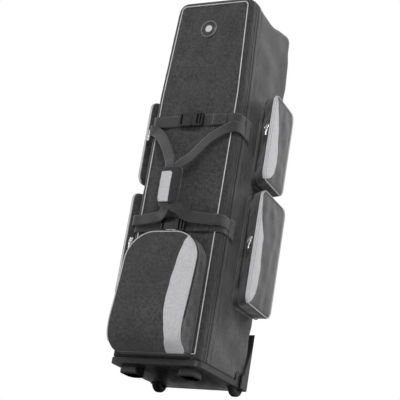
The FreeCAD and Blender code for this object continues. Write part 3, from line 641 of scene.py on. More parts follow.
def off_the_spine(place):
    """Outward in the front plane at each place on the case's outline: the larger part of the
    step away from the case's middle line."""
    spine = np.clip(place[:, 2], BOTTOM + HALF * 0.9, TOP - HALF * 0.9)
    away = np.stack([place[:, 0], np.zeros(len(place)), place[:, 2] - spine], -1)
    flat_side = np.abs(away[:, 0]) > np.abs(away[:, 2]) * 1.02
    away = np.where(flat_side[:, None], away * [1, 0, 0], away * [0, 0, 1])
    return away / np.linalg.norm(away, axis=1, keepdims=True)


def level_z(node):
    low, high = span(node)
    return (low[2] + high[2]) / 2


# ---------------------------------------------------------------- padded body

def strap_pinch(z):
    """How hard the two straps draw the fabric in at each height, one at a strap's middle."""
    heights = [level_z("strap_upper_right"), level_z("strap_lower_right")]
    return sum(np.exp(-((z - height) / 0.035) ** 2) for height in heights)


def lid_points():
    """Lid skin: rim, rounded edge and a face that swells between the straps."""
    face = FRONT + 0.0035
    rings = rim_rings(SEAM_LID, face, 0.016)
    points = sheet_of_rings(rings, body_loop, 22, HALF * 0.93)
    away = np.clip((HALF - np.abs(points[..., 0])) / 0.05, 0, 1)
    ends = np.clip((points[..., 2] - BOTTOM) / 0.06, 0, 1) * np.clip((TOP - points[..., 2]) / 0.05, 0, 1)
    on_face = np.clip((SEAM_LID - points[..., 1]) / (SEAM_LID - FRONT) * 2 - 1, 0, 1)
    soft = away * ends * on_face
    crown = sizes().crown * (1 - strap_pinch(points[..., 2])) * soft
    folds = sizes().wrinkle * ripple(points[..., 0], points[..., 2] * 0.8, 0.11, 3) * soft
    points[..., 1] -= np.minimum(crown + folds, 0.0052)
    side = (1 - away) * np.clip((SEAM_LID - 0.004 - points[..., 1]) / 0.01, 0, 1)
    bend = 0.0009 * ripple(points[..., 1] * 2, points[..., 2], 0.09, 8) * side
    points[..., 0] -= np.sign(points[..., 0]) * (np.abs(bend) + 0.0004 * side)
    return points


def border_distance(points):
    """Above zero outside the piping line, where the lid's edge band is sewn on."""
    narrow = HALF - np.clip((points[..., 2] - TAPER_START) / (TOP - TAPER_START), 0, 1) * TOP_NARROWING
    return np.abs(points[..., 0]) - (narrow - 0.0175)


# How far the padded back stands out, by height: little behind the guard, more just above it.
LOW_BACK_BULGE = ([0.05, 0.10, 0.206, 0.238, 0.33, 0.62],
                  [0.0, 0.0032, 0.0032, 0.0085, 0.0085, 0.0])


def shell_points():
    rings = rim_rings(SEAM_SHELL, BACK - 0.003, 0.030, 8)
    wall = np.linspace(SEAM_SHELL, BACK - 0.033, 26)
    rings = [(0.0, depth) for depth in wall] + rings[7:]
    points = sheet_of_rings(rings, body_loop, 18, HALF * 0.9)
    depth = (points[..., 1] - SEAM_SHELL) / (BACK - SEAM_SHELL)
    loose = np.clip(depth / 0.12, 0, 1) * np.clip((points[..., 2] - BOTTOM) / 0.05, 0, 1)
    folds = ripple(points[..., 1] + np.abs(points[..., 0]), points[..., 2] * 0.7, 0.12, 5)
    amount = loose * (-0.0016 + sizes().wrinkle * folds)
    deepest = np.interp(depth, [0.75, 0.9], [-0.0060, -0.0024])
    points = swell(points, points - points.mean((0, 1)), np.clip(amount, deepest, 0.0012))
    bulge = np.interp(points[..., 2], *LOW_BACK_BULGE)
    points[..., 1] += bulge * np.clip((depth - 0.55) / 0.45, 0, 1)
    return clear_of_wheels(settled(points))


def settled(points):
    """Unfilled fabric sinks behind the top edge: a bell-shaped dip along the case's depth that
    fades out below the shoulders, with a small roll left standing at the back."""
    points = points.copy()
    depth = (points[..., 1] - SEAM_SHELL) / (BACK - SEAM_SHELL)
    high = np.clip((points[..., 2] - 1.08) / (TOP - 1.08), 0, 1) ** 1.4
    dip = 0.017 * np.exp(-((depth - 0.50) / 0.21) ** 2) - 0.0015 * np.exp(-((depth - 0.9) / 0.06) ** 2)
    points[..., 2] -= dip * high
    points[..., 0] *= 1 - 0.35 * np.clip(dip, 0, 1) * high
    return points


def clear_of_wheels(points):
    """Lifts the skin over the wheel housings."""
    low, high = span("wheel_housing_right")
    near = (np.abs(points[..., 0]) > low[0] - 0.001) & (points[..., 1] > low[1] - 0.001)
    lifted = np.maximum(points[..., 2], high[2] + 0.001)
    points[..., 2] = np.where(near, lifted, points[..., 2])
    return points


class CASE_OT_body(bpy.types.Operator):
    """Makes the lid and shell skins and the foam arch"""
    bl_idname = "case.body"
    bl_label = "Padded body"

    def execute(self, context):
        points = lid_points()
        mesh = build_mesh("lid_skin", points, grid_faces(*points.shape[:2]),
                          {"border": border_distance(points)})
        add_piece("lid_skin", mesh, "body_fabric", "lid", ["lid_panel"], wall=0.0035)
        points = shell_points()
        mesh = build_mesh("shell_skin", points, grid_faces(*points.shape[:2]),
                          {"border": np.full(points.shape[:2], -1.0)})
        add_piece("shell_skin", mesh, "body_fabric", "case", ["shell"], wall=0.0030)
        self.liner()
        return {"FINISHED"}

    def liner(self):
        """Foam arch: the case's outline drawn in, its inner face quilted in diamonds."""
        low, high = LINER_LOW, LINER_HIGH
        margin = HALF - high[0]
        outer = body_loop(margin)
        outer = outer[outer[:, 1] > low[2]]
        order = np.argsort(np.arctan2(outer[:, 0], outer[:, 1] - low[2]))
        outer = np.concatenate([[[-outer[:, 0].max(), low[2]]], outer[order],
                                [[outer[:, 0].max(), low[2]]]])
        tangent, run = path_frames(outer, False)
        inward = np.stack([tangent[:, 1], -tangent[:, 0]], -1)
        depth = np.linspace(low[1] + 0.004, high[1] - 0.004, 46)
        quilt = np.abs(np.sin(run[None] * math.pi / 0.055)) * \
            np.abs(np.sin((depth[:, None] - low[1]) * math.pi / 0.055))
        thick = 0.005 + 0.004 * np.sqrt(quilt)
        inner = outer[None] + inward[None] * thick[..., None]
        flat = np.broadcast_to(outer, inner.shape)
        front = np.stack([flat[..., 0], np.broadcast_to(depth[:, None], thick.shape),
                          flat[..., 1]], -1)
        back = np.stack([inner[..., 0], np.broadcast_to(depth[:, None], thick.shape),
                         inner[..., 1]], -1)
        profile = settled(np.concatenate([front, back[::-1]]))
        faces = grid_faces(*profile.shape[:2], False, True).tolist()
        count, columns = profile.shape[:2]
        faces += [[row * columns for row in range(count)][::-1],
                  [row * columns + columns - 1 for row in range(count)]]
        piece = add_piece("foam_arch", build_mesh("foam_arch", profile, faces), "foam",
                          "case", ["liner"])


# ---------------------------------------------------------------- long zip

class CASE_OT_zips(bpy.types.Operator):
    """Makes the woven tapes and the teeth of the long zip between lid and shell"""
    bl_idname = "case.zips"
    bl_label = "Long zip"

    def execute(self, context):
        for node, body, edge, toward in (("zip_track_lid", "lid", SEAM_LID, -1),
                                         ("zip_track_shell", "case", SEAM_SHELL, 1)):
            low, high = span(node)
            self.tape(node, body, edge, toward, high[1] - low[1])
        return {"FINISHED"}

    def tape(self, node, body, edge, toward, width):
        """Tape: a thin closed strip carried round the case, with a lip beside the teeth."""
        outline = [(0.0, 0.0), (0.0, 1.0), (0.0009, 1.0), (0.0011, 0.86), (0.0009, 0.72),
                   (0.0009, 0.30), (0.0013, 0.22), (0.0013, 0.12), (0.0009, 0.04), (0.0009, 0.0)]
        rings = np.stack([np.insert(body_loop(-0.0002 - out), 1, edge + toward * width * along,
                                    axis=1) for out, along in outline])
        faces = grid_faces(len(outline), rings.shape[1], True, True)
        add_piece(node + "_tape", build_mesh(node, rings, faces), "zip_tape", body, [node])
        loop = in_plane(body_loop(-0.0006), edge + toward * 0.0016)
        place, tangent = even_spots(loop, sizes().tooth_pitch)
        outward = off_the_spine(place)
        points, faces = repeat_bits(place, tangent, outward, (0.0021, 0.0034, 0.0030))
        add_piece(node + "_teeth", build_mesh(node + "_t", points, faces), "teeth", body,
                  slot="zip_metal")
        for share in (0.40, 0.80):
            row = in_plane(body_loop(-0.0011), edge + toward * width * share)
            place, tangent = even_spots(row, sizes().stitch_pitch)
            points, faces = repeat_bits(place, tangent, off_the_spine(place),
                                        (0.0038, 0.0012, 0.0010))
            add_piece(f"{node}_sewn_{int(share * 100)}", build_mesh(node + "_s", points, faces),
                      "pale_thread", body, slot="zip_tape")


# ---------------------------------------------------------------- piping and emblem

def lathe(centre, profile, sides=56):
    """Turned form facing forward: profile points (radius, height) spun round the Y axis."""
    profile = np.asarray(profile, float)
    turn = np.linspace(0, 2 * math.pi, sides, endpoint=False)
    radius = profile[:, :1]
    ring = np.stack([centre[0] + radius * np.cos(turn), centre[1] - profile[:, 1:]
                     + np.zeros_like(turn), centre[2] + radius * np.sin(turn)], -1)
    return ring, grid_faces(len(profile), sides)


class CASE_OT_trim(bpy.types.Operator):
    """Sews the piping round the lid and fits the plain round emblem"""
    bl_idname = "case.trim"
    bl_label = "Piping and emblem"

    def execute(self, context):
        low, high = span("lid_piping")
        inset = HALF - high[0] + 0.0015
        loop = in_plane(body_loop(inset), low[1] + 0.0023)
        outward = np.broadcast_to([0.0, -1.0, 0.0], loop.shape)
        points, faces = tube(loop, outward, sizes().piping_radius)
        add_piece("lid_cord", build_mesh("lid_cord", points, faces), "piping", "lid",
                  ["lid_piping"])
        for label, more in (("outer", -0.006), ("inner", 0.006)):
            row = in_plane(body_loop(inset + more), FRONT + 0.0034)
            add_stitches(f"lid_sewn_{label}", row, np.array([0.0, -1.0, 0.0]), "lid", True)
        for label, depth, body in (("lid_side", SEAM_LID - 0.020, "lid"),
                                   ("shell_side_one", SEAM_SHELL + 0.024, "case"),
                                   ("shell_side_two", SEAM_SHELL + 0.033, "case")):
            row = in_plane(body_loop(0.0003), depth)
            place, tangent = even_spots(row, sizes().stitch_pitch)
            points, faces = repeat_bits(place, tangent, off_the_spine(place),
                                        (0.0040, 0.0016, 0.0014))
            add_piece("sewn_" + label, build_mesh(label, points, faces), "thread", body,
                      slot="webbing")
        self.emblem()
        return {"FINISHED"}

    def emblem(self):
        low, high = span("emblem")
        centre = (low + high) / 2
        face = high[1]
        big = (high[0] - low[0]) / 2
        rings = ((("emblem_rim", "emblem_grey"), [(0.99, 0.0), (1.0, 0.5), (0.97, 0.9), (0.93, 1.0),
                                                  (0.89, 0.8), (0.88, 0.0)]),
                 (("emblem_dish", "emblem_plastic"), [(0.88, 0.0), (0.88, 0.6), (0.5, 0.5),
                                                      (0.42, 0.5), (0.42, 0.0)]),
                 (("emblem_boss", "emblem_pale"), [(0.42, 0.0), (0.42, 0.7), (0.38, 0.95),
                                                   (0.20, 1.0), (0.0, 1.0)]))
        for (name, material), profile in rings:
            shape = [(share * big, height * (high[1] - low[1])) for share, height in profile]
            ring, faces = lathe((centre[0], face, centre[2]), shape)
            replaced = ["emblem"] if name == "emblem_rim" else ()
            add_piece(name, build_mesh(name, ring, faces), material, "lid", replaced,
                      slot="emblem_plastic")


# ---------------------------------------------------------------- sliders and pulls

def slab_of(profile, low, high, axes, origin):
    """A flat rounded plate: an outline in (first, second) axes between two heights along the
    third, its rim softened by insetting the first and last rings."""
    profile = np.asarray(profile, float)
    middle = profile.mean(0)
    heights = np.array([low, low + (high - low) * 0.18, high - (high - low) * 0.18, high])
    shrink = np.array([0.90, 1.0, 1.0, 0.90])
    flat = middle + (profile[None] - middle) * shrink[:, None, None]
    local = np.concatenate([flat, np.broadcast_to(heights[:, None, None],
                                                  (*flat.shape[:2], 1))], -1)
    rings = origin + np.einsum("rpk,kc->rpc", local, axes)
    return closed_ends(rings, grid_faces(*rings.shape[:2]))


def oval_ring(centre, first, second, radii, thickness, sides=8, count=26):
    """A closed wire loop: a circle carried round an ellipse."""
    turn = np.linspace(0, 2 * math.pi, count, endpoint=False)[:, None]
    path = centre + radii[0] * np.cos(turn) * first + radii[1] * np.sin(turn) * second
    outward = np.cos(turn) * first + np.sin(turn) * second
    return tube(path, outward, thickness, True, sides)


def slider_parts(origin, axes, size):
    """Slider body: a waisted plate, a bridge over it and a flat nose.
    axes are run, across and out."""
    across = axes[1]
    long, wide, high = size
    plate = [(-0.50, -0.30), (-0.50, 0.30), (-0.1, 0.40), (0.28, 0.5), (0.5, 0.42), (0.5, 0.12),
             (0.34, 0.0), (0.5, -0.12), (0.5, -0.42), (0.28, -0.5), (-0.1, -0.40)]
    plate = [(u * long, v * wide) for u, v in plate]
    lower = slab_of(plate, 0.0, high * 0.22, axes, origin)
    upper = slab_of(plate, high * 0.40, high * 0.62, axes, origin)
    waist = slab_of([(u * 0.4 - 0.001, v * 0.3) for u, v in plate], 0.0, high * 0.6, axes, origin)
    hoop = np.array([(-0.40, 0, 0.55), (-0.30, 0, 0.86), (-0.05, 0, 0.93), (0.22, 0, 0.86),
                     (0.34, 0, 0.55)]) * [long, wide, high]
    path = smooth_path(origin + hoop @ axes, 0.0012)
    bridge = tube(path, np.broadcast_to(across, path.shape), high * 0.10, False, 8)
    return [lower, upper, waist, bridge]


def pull_tip(origin, axes, size):
    """Moulded tip of a pull: a blunt block with grip ridges, on the last third of its length.
    axes are down its length, across and out; the origin is its eye."""
    long, wide, thick = size
    tab = [(0.68, -0.34), (0.68, 0.34), (0.74, 0.5), (0.95, 0.5), (0.99, 0.36), (0.99, -0.36),
           (0.95, -0.5), (0.74, -0.5)]
    parts = [slab_of([(u * long, v * wide) for u, v in tab], -thick / 2, thick / 2, axes, origin)]
    for share in (0.77, 0.84, 0.91):
        ridge = [(share - 0.018, -0.40), (share - 0.018, 0.40), (share + 0.018, 0.40),
                 (share + 0.018, -0.40)]
        parts.append(slab_of([(u * long, v * wide) for u, v in ridge], -thick * 0.62,
                             thick * 0.62, axes, origin))
    return parts


def pull_shank(origin, axes, size):
    """Metal part of a pull: an eye ring and a flat waisted bar that runs into the tip."""
    down, across, _ = axes
    long, wide, thick = size
    bar = [(0.22, -0.34), (0.22, 0.34), (0.32, 0.42), (0.46, 0.28), (0.62, 0.30), (0.71, 0.36),
           (0.71, -0.36), (0.62, -0.30), (0.46, -0.28), (0.32, -0.42)]
    ring = oval_ring(origin + down * long * 0.145, down, across, (long * 0.145, wide * 0.42),
                     thick * 0.34)
    return [slab_of([(u * long, v * wide) for u, v in bar], -thick * 0.32, thick * 0.32, axes,
                    origin), ring]


class CASE_OT_sliders(bpy.types.Operator):
    """Makes every zip slider with its ring and its hanging pull"""
    bl_idname = "case.sliders"
    bl_label = "Sliders and pulls"

    def execute(self, context):
        for level in LEVELS:
            for word, _ in SIDES:
                self.one(f"{level}_{word}", (0, 0, 1), (1, 0, 0), (0, -1, 0), (0, 0, -1))
        self.one("shoe", (1, 0, 0), (0, 1, 0), (0, 0, 1), (-1, 0, 0))
        self.one("main", (-1, 0, 0), (0, 1, 0), (0, 0, 1), (1, 0, 0))
        return {"FINISHED"}

    def one(self, label, run, across, out, down):
        low, high = span("slider_" + label)
        run, across, out, down = (np.array(part, float) for part in (run, across, out, down))
        size = [abs((high - low) @ axis) for axis in (run, across, out)]
        middle = (low + high) / 2 - out * size[2] / 2
        parts = slider_parts(middle, np.stack([run, across, out]), size)
        mesh = build_mesh("slider_" + label, *join_parts(parts)[:2])
        add_piece("runner_" + label, mesh, "zip_metal", "slider_" + label, ["slider_" + label])
        low, high = span("pull_" + label)
        size = [abs((high - low) @ axis) for axis in (down, across, out)]
        eye = (low + high) / 2 - down * size[0] / 2
        axes = np.stack([down, across, out])
        mesh = build_mesh("tip_" + label, *join_parts(pull_tip(eye, axes, size))[:2])
        add_piece("tip_" + label, mesh, "pull_rubber", "pull_" + label, ["pull_" + label])
        mesh = build_mesh("shank_" + label, *join_parts(pull_shank(eye, axes, size))[:2])
        add_piece("shank_" + label, mesh, "zip_metal", "pull_" + label)


# ---------------------------------------------------------------- side pockets

# Where the light inset ends, measured back from the cover's front edge, by height above
# the pocket's foot; both as shares of the cover's depth and height.
INSET_EDGE = {
    "upper": ([-0.02, 0.015, 0.07, 0.157, 0.32, 0.67, 1.0], [-0.05, 0.08, 0.28, 0.42, 0.45, 0.31, 0.12]),
    "lower": ([-0.05, 0.0, 0.03, 0.116, 0.342, 0.60, 0.745, 1.0],
              [-0.05, 0.08, 0.17, 0.27, 0.30, 0.25, 0.11, 0.03]),
}


class CASE_OT_side_pockets(bpy.types.Operator):
    """Makes the four wedge-shaped side pockets and their two-colour covers"""
    bl_idname = "case.side_pockets"
    bl_label = "Side pockets"

    def execute(self, context):
        for level in LEVELS:
            for word, side in SIDES:
                self.pocket(level, word, side)
        return {"FINISHED"}

    def sizes_of(self, level, word):
        """Reach of the cover from the case at its front and back edges, read off its mesh."""
        node = NODES[f"cover_{level}_{word}"]
        points = np.array([v.co for v in node.data.vertices])
        lip, end = points[:, 1].min(), points[:, 1].max()
        near = np.abs(points[:, 1] - lip) < 0.004
        far = np.abs(points[:, 1] - end) < 0.004
        front_x = np.abs(points[near, 0]).max()
        back_x = np.abs(points[far, 0]).max()
        return lip, end, front_x, back_x, points[:, 2].min(), points[:, 2].max()

    def pocket(self, level, word, side):
        name = f"{level}_{word}"
        lip, end, front_x, back_x, low, high = self.sizes_of(level, word)
        root = HALF + 0.0012
        root_front = FRONT + 0.138
        radius = 0.030

        def outline(start, inset):
            corners = [(start + inset, low + inset), (end - inset, low + inset),
                       (end - inset, high - inset), (start + inset, high - inset)]
            counts = edge_counts([(lip, low), (end, low), (end, high), (lip, high)], 0.006)
            return rounded_loop(corners, max(radius - inset, 0.004), counts)

        def reach(y, drop):
            return front_x + (back_x - front_x) * (y - lip) / (end - lip) - drop

        def stand(loop, x):
            return np.stack([side * np.broadcast_to(x, len(loop)), loop[:, 0], loop[:, 1]], -1)

        base, mouth = outline(root_front, 0.0), outline(lip, 0.0006)
        share = np.linspace(0, 1, 16)
        wall = [stand(base * (1 - t) + mouth * t, root * (1 - t) + reach(mouth[:, 0], 0.0072) * t)
                for t in share]
        inside = [stand(base * (1 - t) + outline(lip, 0.0045) * t + [[0.0035 * (1 - t), 0]],
                        (root + 0.002) * (1 - t) + reach(mouth[:, 0], 0.0072) * t)
                  for t in share[::-1]]
        middle = np.array([(lip + end) / 2 + 0.03, (low + high) / 2])
        floor = [stand(outline(root_front, 0.0035) * (1 - t) + middle * t, root + 0.002)
                 for t in np.linspace(0.02, 1, 5)]
        under = [stand(base * (1 - t) + middle * t, root) for t in np.linspace(1, 0.02, 5)]
        rings = np.stack(under + wall + inside + floor)
        loose = np.zeros(rings.shape[:2])
        sway = np.sin(np.linspace(0, math.pi, 16))[:, None]
        heights = rings[5:21, :, 2]
        loose[5:21] = sway * (0.0010 + 0.0014 * ripple(rings[5:21, :, 1], heights, 0.07, 21 + len(name)))
        rings = swell(rings, rings - rings.mean((0, 1)), loose)
        bag = build_mesh("bag_" + name, rings, grid_faces(*rings.shape[:2]),
                         {"panel": np.full(rings.shape[:2], -1.0)})
        add_piece("bag_" + name, bag, "pocket_fabric", "case", ["pocket_" + name])
        self.cover(level, name, side, outline, reach, stand, (lip, end, low, high))
        self.gusset_zip(name, base, mouth, root, reach, stand)

    def cover(self, level, name, side, outline, reach, stand, extent):
        """Cover: closed pad whose outer face is a crowned sheet shrinking to a spine."""
        lip, end, low, high = extent
        turn = np.linspace(0, math.pi / 2, 5)
        soft = 0.0052
        rings = [stand(outline(lip, 0.0), reach(outline(lip, 0.0)[:, 0], 0.0060))]
        for t in turn:
            loop = outline(lip, soft * (1 - math.cos(t)))
            rings.append(stand(loop, reach(loop[:, 0], 0.0015 + 0.0042 * (1 - math.sin(t)))))
        last = outline(lip, soft)
        keep = (end - lip) * 0.48
        spine = np.stack([np.full(len(last), (lip + end) / 2),
                          np.clip(last[:, 1], low + keep, high - keep)], -1)
        for t in np.linspace(0, 1, 19)[1:]:
            loop = last * (1 - t) + spine * t
            crown = 0.0060 * math.sin(math.pi / 2 * min(1.0, t * 1.4))
            bumps = 0.0013 * ripple(loop[:, 0], loop[:, 1], 0.08, 40 + len(name)) * min(1.0, t * 4)
            rings.append(stand(loop, reach(loop[:, 0], 0.0015) + crown + bumps))
        outer = np.stack(rings)
        back = [stand(last * (1 - t) + spine * t, reach((last * (1 - t) + spine * t)[:, 0], 0.0060))
                for t in np.linspace(1, 0.0, 6)]
        points = np.concatenate([np.stack(back), outer])
        heights = (points[..., 2] - low) / (high - low)
        limit = np.interp(heights, *INSET_EDGE[level]) * (end - lip)
        panel = limit - (points[..., 1] - lip)
        mesh = build_mesh("cover_" + name, points, grid_faces(*points.shape[:2]),
                          {"panel": panel})
        piece = add_piece("panel_" + name, mesh, "pocket_fabric", "cover_" + name,
                          ["cover_" + name])
        rim = outline(lip, 0.0022)
        path = stand(rim, reach(rim[:, 0], 0.0) + 0.0004)
        outward = np.broadcast_to([float(side), 0.0, 0.0], path.shape)
        points, faces = tube(path, outward, sizes().piping_radius * 0.8)
        add_piece("cord_" + name, build_mesh("cord_" + name, points, faces), "piping",
                  "cover_" + name)
        row = outline(lip, 0.011)
        path = stand(row, reach(row[:, 0], -0.0022))
        add_stitches("sewn_" + name, path, np.array([float(side), 0.0, 0.0]), "cover_" + name, True)

    def gusset_zip(self, name, base, mouth, root, reach, stand):
        """Teeth that run round the pocket's wall, two fifths of the way out."""
        share = 0.40
        loop = base * (1 - share) + mouth * share
        x = root * (1 - share) + reach(mouth[:, 0], 0.0072) * share
        path = stand(loop, x)
        middle = path.mean(0)
        outward = path - middle
        outward[:, 0] = 0.0
        flat = np.abs(outward[:, 1]) / 0.11 > np.abs(outward[:, 2]) / 0.16
        outward = np.where(flat[:, None], outward * [0, 1, 0], outward * [0, 0, 1])
        outward /= np.linalg.norm(outward, axis=1, keepdims=True)
        place, tangent = even_spots(path, sizes().tooth_pitch)
        nearest = np.argmin(np.linalg.norm(place[:, None] - path[None], axis=2), axis=1)
        points, faces = repeat_bits(place + outward[nearest] * 0.0024, tangent, outward[nearest],
                                    (0.0021, 0.0060, 0.0036))
        add_piece("teeth_" + name, build_mesh("teeth_" + name, points, faces), "teeth", "case",
                  slot="zip_metal")


# ---------------------------------------------------------------- shoe pocket

SHOE_LOW, SHOE_HIGH = span("shoe_flap")
# Height above the floor and how far the pocket stands out from the lid, in metres.
SHOE_HEIGHTS = np.array([0.054, 0.064, 0.078, 0.094, 0.112, 0.135, 0.158, 0.22, 0.29, 0.37, 0.440])
SHOE_REACH = np.array([0.030, 0.060, 0.079, 0.088, 0.0925, 0.0935, 0.0915, 0.0830, 0.0745,
                       0.0675, 0.0620])
# Height and distance from the middle of the light panel's inner edge.
SHOE_INSET = (np.array([0.040, 0.060, 0.088, 0.131, 0.177, 0.229, 0.282, 0.325, 0.368, 0.406,
                        0.44]),
              np.array([0.064, 0.064, 0.077, 0.070, 0.061, 0.058, 0.059, 0.064, 0.070, 0.077,
                        0.095]))


def shoe_loop(inset):
    """Front view of the pocket: straight foot and sides under a round arch."""
    wide, low, high = SHOE_HIGH[0] - inset, SHOE_LOW[2] + inset, SHOE_HIGH[2] - inset
    corners = [(wide, low), (wide, high), (-wide, high), (-wide, low)]
    whole = [(SHOE_HIGH[0], SHOE_LOW[2]), (SHOE_HIGH[0], SHOE_HIGH[2]),
             (-SHOE_HIGH[0], SHOE_HIGH[2]), (-SHOE_HIGH[0], SHOE_LOW[2])]
    radii = [max(0.012 - inset, 0.004), 0.095 - inset, 0.095 - inset, max(0.012 - inset, 0.004)]
    return rounded_loop(corners, radii, edge_counts(whole, 0.005), 16)


def shoe_reach(z):
    """Smooth side profile: the mean of the table read at several nearby heights."""
    around = np.linspace(-0.012, 0.012, 7)
    return np.mean([np.interp(z + shift, SHOE_HEIGHTS, SHOE_REACH) for shift in around], 0)


class CASE_OT_shoe_pocket(bpy.types.Operator):
    """Makes the bulging front pocket: its walls, two-colour flap, cord and zip"""
    bl_idname = "case.shoe_pocket"
    bl_label = "Shoe pocket"

    def execute(self, context):
        self.walls()
        self.flap()
        return {"FINISHED"}

    def walls(self):
        """Bag: an outer wall from the lid to the mouth, folded back inside to its floor."""
        mouth = shoe_loop(0.0008)
        inner = shoe_loop(0.0048)
        near = FRONT - 0.0010
        share = np.linspace(0, 1, 14)
        edge = FRONT - shoe_reach(mouth[:, 1]) + 0.0062
        edge = np.minimum(edge, near - 0.012)
        outer = [in_plane(mouth, 0.0) * [1, 0, 1] + np.outer(near * (1 - t) + edge * t, [0, 1, 0])
                 if t else in_plane(mouth, near) for t in share]
        fold = [in_plane(inner, 0.0) * [1, 0, 1]
                + np.outer((near - 0.004) * (1 - t) + edge * t, [0, 1, 0]) for t in share[::-1]]
        spine = spine_of(inner, SHOE_HIGH[0] * 0.9)
        floor = [in_plane(inner * (1 - t) + spine * t, near - 0.004) for t in (0.5, 1.0)]
        under = [in_plane(mouth * (1 - t) + spine_of(mouth, SHOE_HIGH[0] * 0.9) * t, near)
                 for t in (1.0, 0.5)]
        rings = np.stack(under + outer + fold + floor)
        sway = np.zeros(rings.shape[:2])
        strength = np.sin(np.linspace(0, math.pi, 14))[:, None]
        sway[2:16] = -strength * (0.0012 + 0.0012 * ripple(rings[2:16, :, 1], rings[2:16, :, 2], 0.06, 61))
        rings = swell(rings, rings - rings.mean((0, 1)), sway)
        mesh = build_mesh("shoe_bag", rings, grid_faces(*rings.shape[:2]),
                          {"panel": np.full(rings.shape[:2], -1.0)})
        add_piece("shoe_bag", mesh, "pocket_fabric", "lid", ["shoe_pocket"])
        loop = shoe_loop(0.0002)
        above = loop[:, 1] > 0.15
        start = int(np.argmax(~above))
        path = np.roll(loop, -start, 0)
        path = path[path[:, 1] > 0.15]
        order = np.argsort(np.arctan2(path[:, 0], path[:, 1] - 0.14))
        path = path[order]
        depth = FRONT - shoe_reach(path[:, 1]) + 0.0135
        line = np.stack([path[:, 0], depth, path[:, 1]], -1)
        place, tangent = even_spots(line, sizes().tooth_pitch, False)
        outward = np.stack([place[:, 0], np.zeros(len(place)),
                            np.clip(place[:, 2] - 0.345, 0, None)], -1)
        outward /= np.linalg.norm(outward, axis=1, keepdims=True)
        for label, chosen, material in (("top", place[:, 2] > 0.425, "zip_metal"),
                                        ("sides", place[:, 2] <= 0.425, "teeth")):
            points, faces = repeat_bits(place[chosen] - outward[chosen] * 0.0004, tangent[chosen],
                                        outward[chosen], (0.0022, 0.0050, 0.0036))
            add_piece("shoe_teeth_" + label, build_mesh("shoe_teeth", points, faces), material,
                      "lid", slot="zip_metal")

    def flap(self):
        """Flap: a sheet drawn in to a spine, its rim rolled back over the bag's mouth."""
        turn = np.linspace(0, math.pi / 2, 6)
        soft = 0.0055
        rings = []
        for t in turn:
            loop = shoe_loop(soft * (1 - math.cos(t)))
            drop = 0.0008 + 0.0040 * (1 - math.sin(t))
            rings.append(in_plane(loop, 0.0) * [1, 0, 1]
                         + np.outer(FRONT - shoe_reach(loop[:, 1]) + drop, [0, 1, 0]))
        last = shoe_loop(soft)
        spine = spine_of(last, SHOE_HIGH[0] * 0.93)
        for t in np.linspace(0, 1, 24)[1:]:
            loop = last * (1 - t) + spine * t
            crown = 0.0045 * math.sin(math.pi / 2 * min(1.0, t * 1.6))
            folds = 0.0020 * ripple(loop[:, 0], loop[:, 1], 0.10, 71) * min(1.0, t * 3)
            depth = FRONT - shoe_reach(loop[:, 1]) + 0.0008 - crown - folds
            rings.append(in_plane(loop, 0.0) * [1, 0, 1] + np.outer(depth, [0, 1, 0]))
        points = np.stack(rings)
        panel = points[..., 0] - np.interp(points[..., 2], *SHOE_INSET)
        mesh = build_mesh("shoe_flap", points, grid_faces(*points.shape[:2]), {"panel": panel})
        piece = add_piece("shoe_front", mesh, "pocket_fabric", "shoe_pocket_flap",
                          ["shoe_flap"], wall=0.0030)
        loop = shoe_loop(0.0012)
        path = loop[loop[:, 1] > 0.075]
        order = np.argsort(np.arctan2(path[:, 0], path[:, 1] - 0.07))
        path = path[order]
        line = np.stack([path[:, 0], FRONT - shoe_reach(path[:, 1]) + 0.0006, path[:, 1]], -1)
        outward = np.broadcast_to([0.0, -1.0, 0.0], line.shape)
        points, faces = tube(line, outward, sizes().piping_radius, False)
        add_piece("shoe_cord", build_mesh("shoe_cord", points, faces), "piping",
                  "shoe_pocket_flap", ["shoe_piping"])


# ---------------------------------------------------------------- straps and buckles

def wrap_path(height, gap, start, end):
    """Plan path of a strap: along the front, round the corner and back along the side."""
    wide, near, bend = HALF + gap, FRONT - gap, 0.018 + gap
    side = 1 if end[0] > 0 else -1
    turn = np.linspace(0, math.pi / 2, 12)
    arc = np.stack([(wide - bend) + bend * np.sin(turn), near + bend - bend * np.cos(turn)], -1)
    run = np.linspace(abs(start), wide - bend, 26)[:-1]
    front = np.stack([run, np.full(25, near)], -1)
    flank = np.stack([np.full(8, wide), np.linspace(near + bend, end[1], 9)[1:]], -1)
    plan = np.concatenate([front, arc, flank])
    normal = np.concatenate([np.tile([0.0, -1.0], (25, 1)),
                             np.stack([np.sin(turn), -np.cos(turn)], -1),
                             np.tile([1.0, 0.0], (8, 1))])
    path = np.stack([side * plan[:, 0], plan[:, 1], np.full(len(plan), height)], -1)
    away = np.stack([side * normal[:, 0], normal[:, 1], np.zeros(len(plan))], -1)
    return path, away


def cross_stitch(name, corner, first, second, outward, body):
    """A box of stitches with a cross through it, on a flat patch."""
    corner, first, second = (np.asarray(part, float) for part in (corner, first, second))
    ends = [corner, corner + first, corner + first + second, corner + second, corner,
            corner + first + second]
    rows = [np.linspace(a, b, 2) for a, b in zip(ends[:-1], ends[1:])]
    rows.append(np.stack([corner + first, corner + second]))
    parts = []
    for row in rows:
        place, tangent = even_spots(row, 0.0048, False)
        parts.append(repeat_bits(place, tangent, np.asarray(outward, float), (0.0034, 0.0013, 0.0014)))
    add_piece(name, build_mesh(name, *join_parts(parts)[:2]), "pale_thread", body, slot="webbing")


PLUG_TRAVEL = 0.028     # how far a buckle's plug slides out when it is released
TAIL_GAP = 0.003        # from the released plug to the strap's sewn tail
TAIL_LENGTH = 0.056
TAIL_EDGE = 0.020       # the tail stops this far short of the lid's side
TAIL_HEM = 0.008        # plain webbing left at each end of the sewn cross


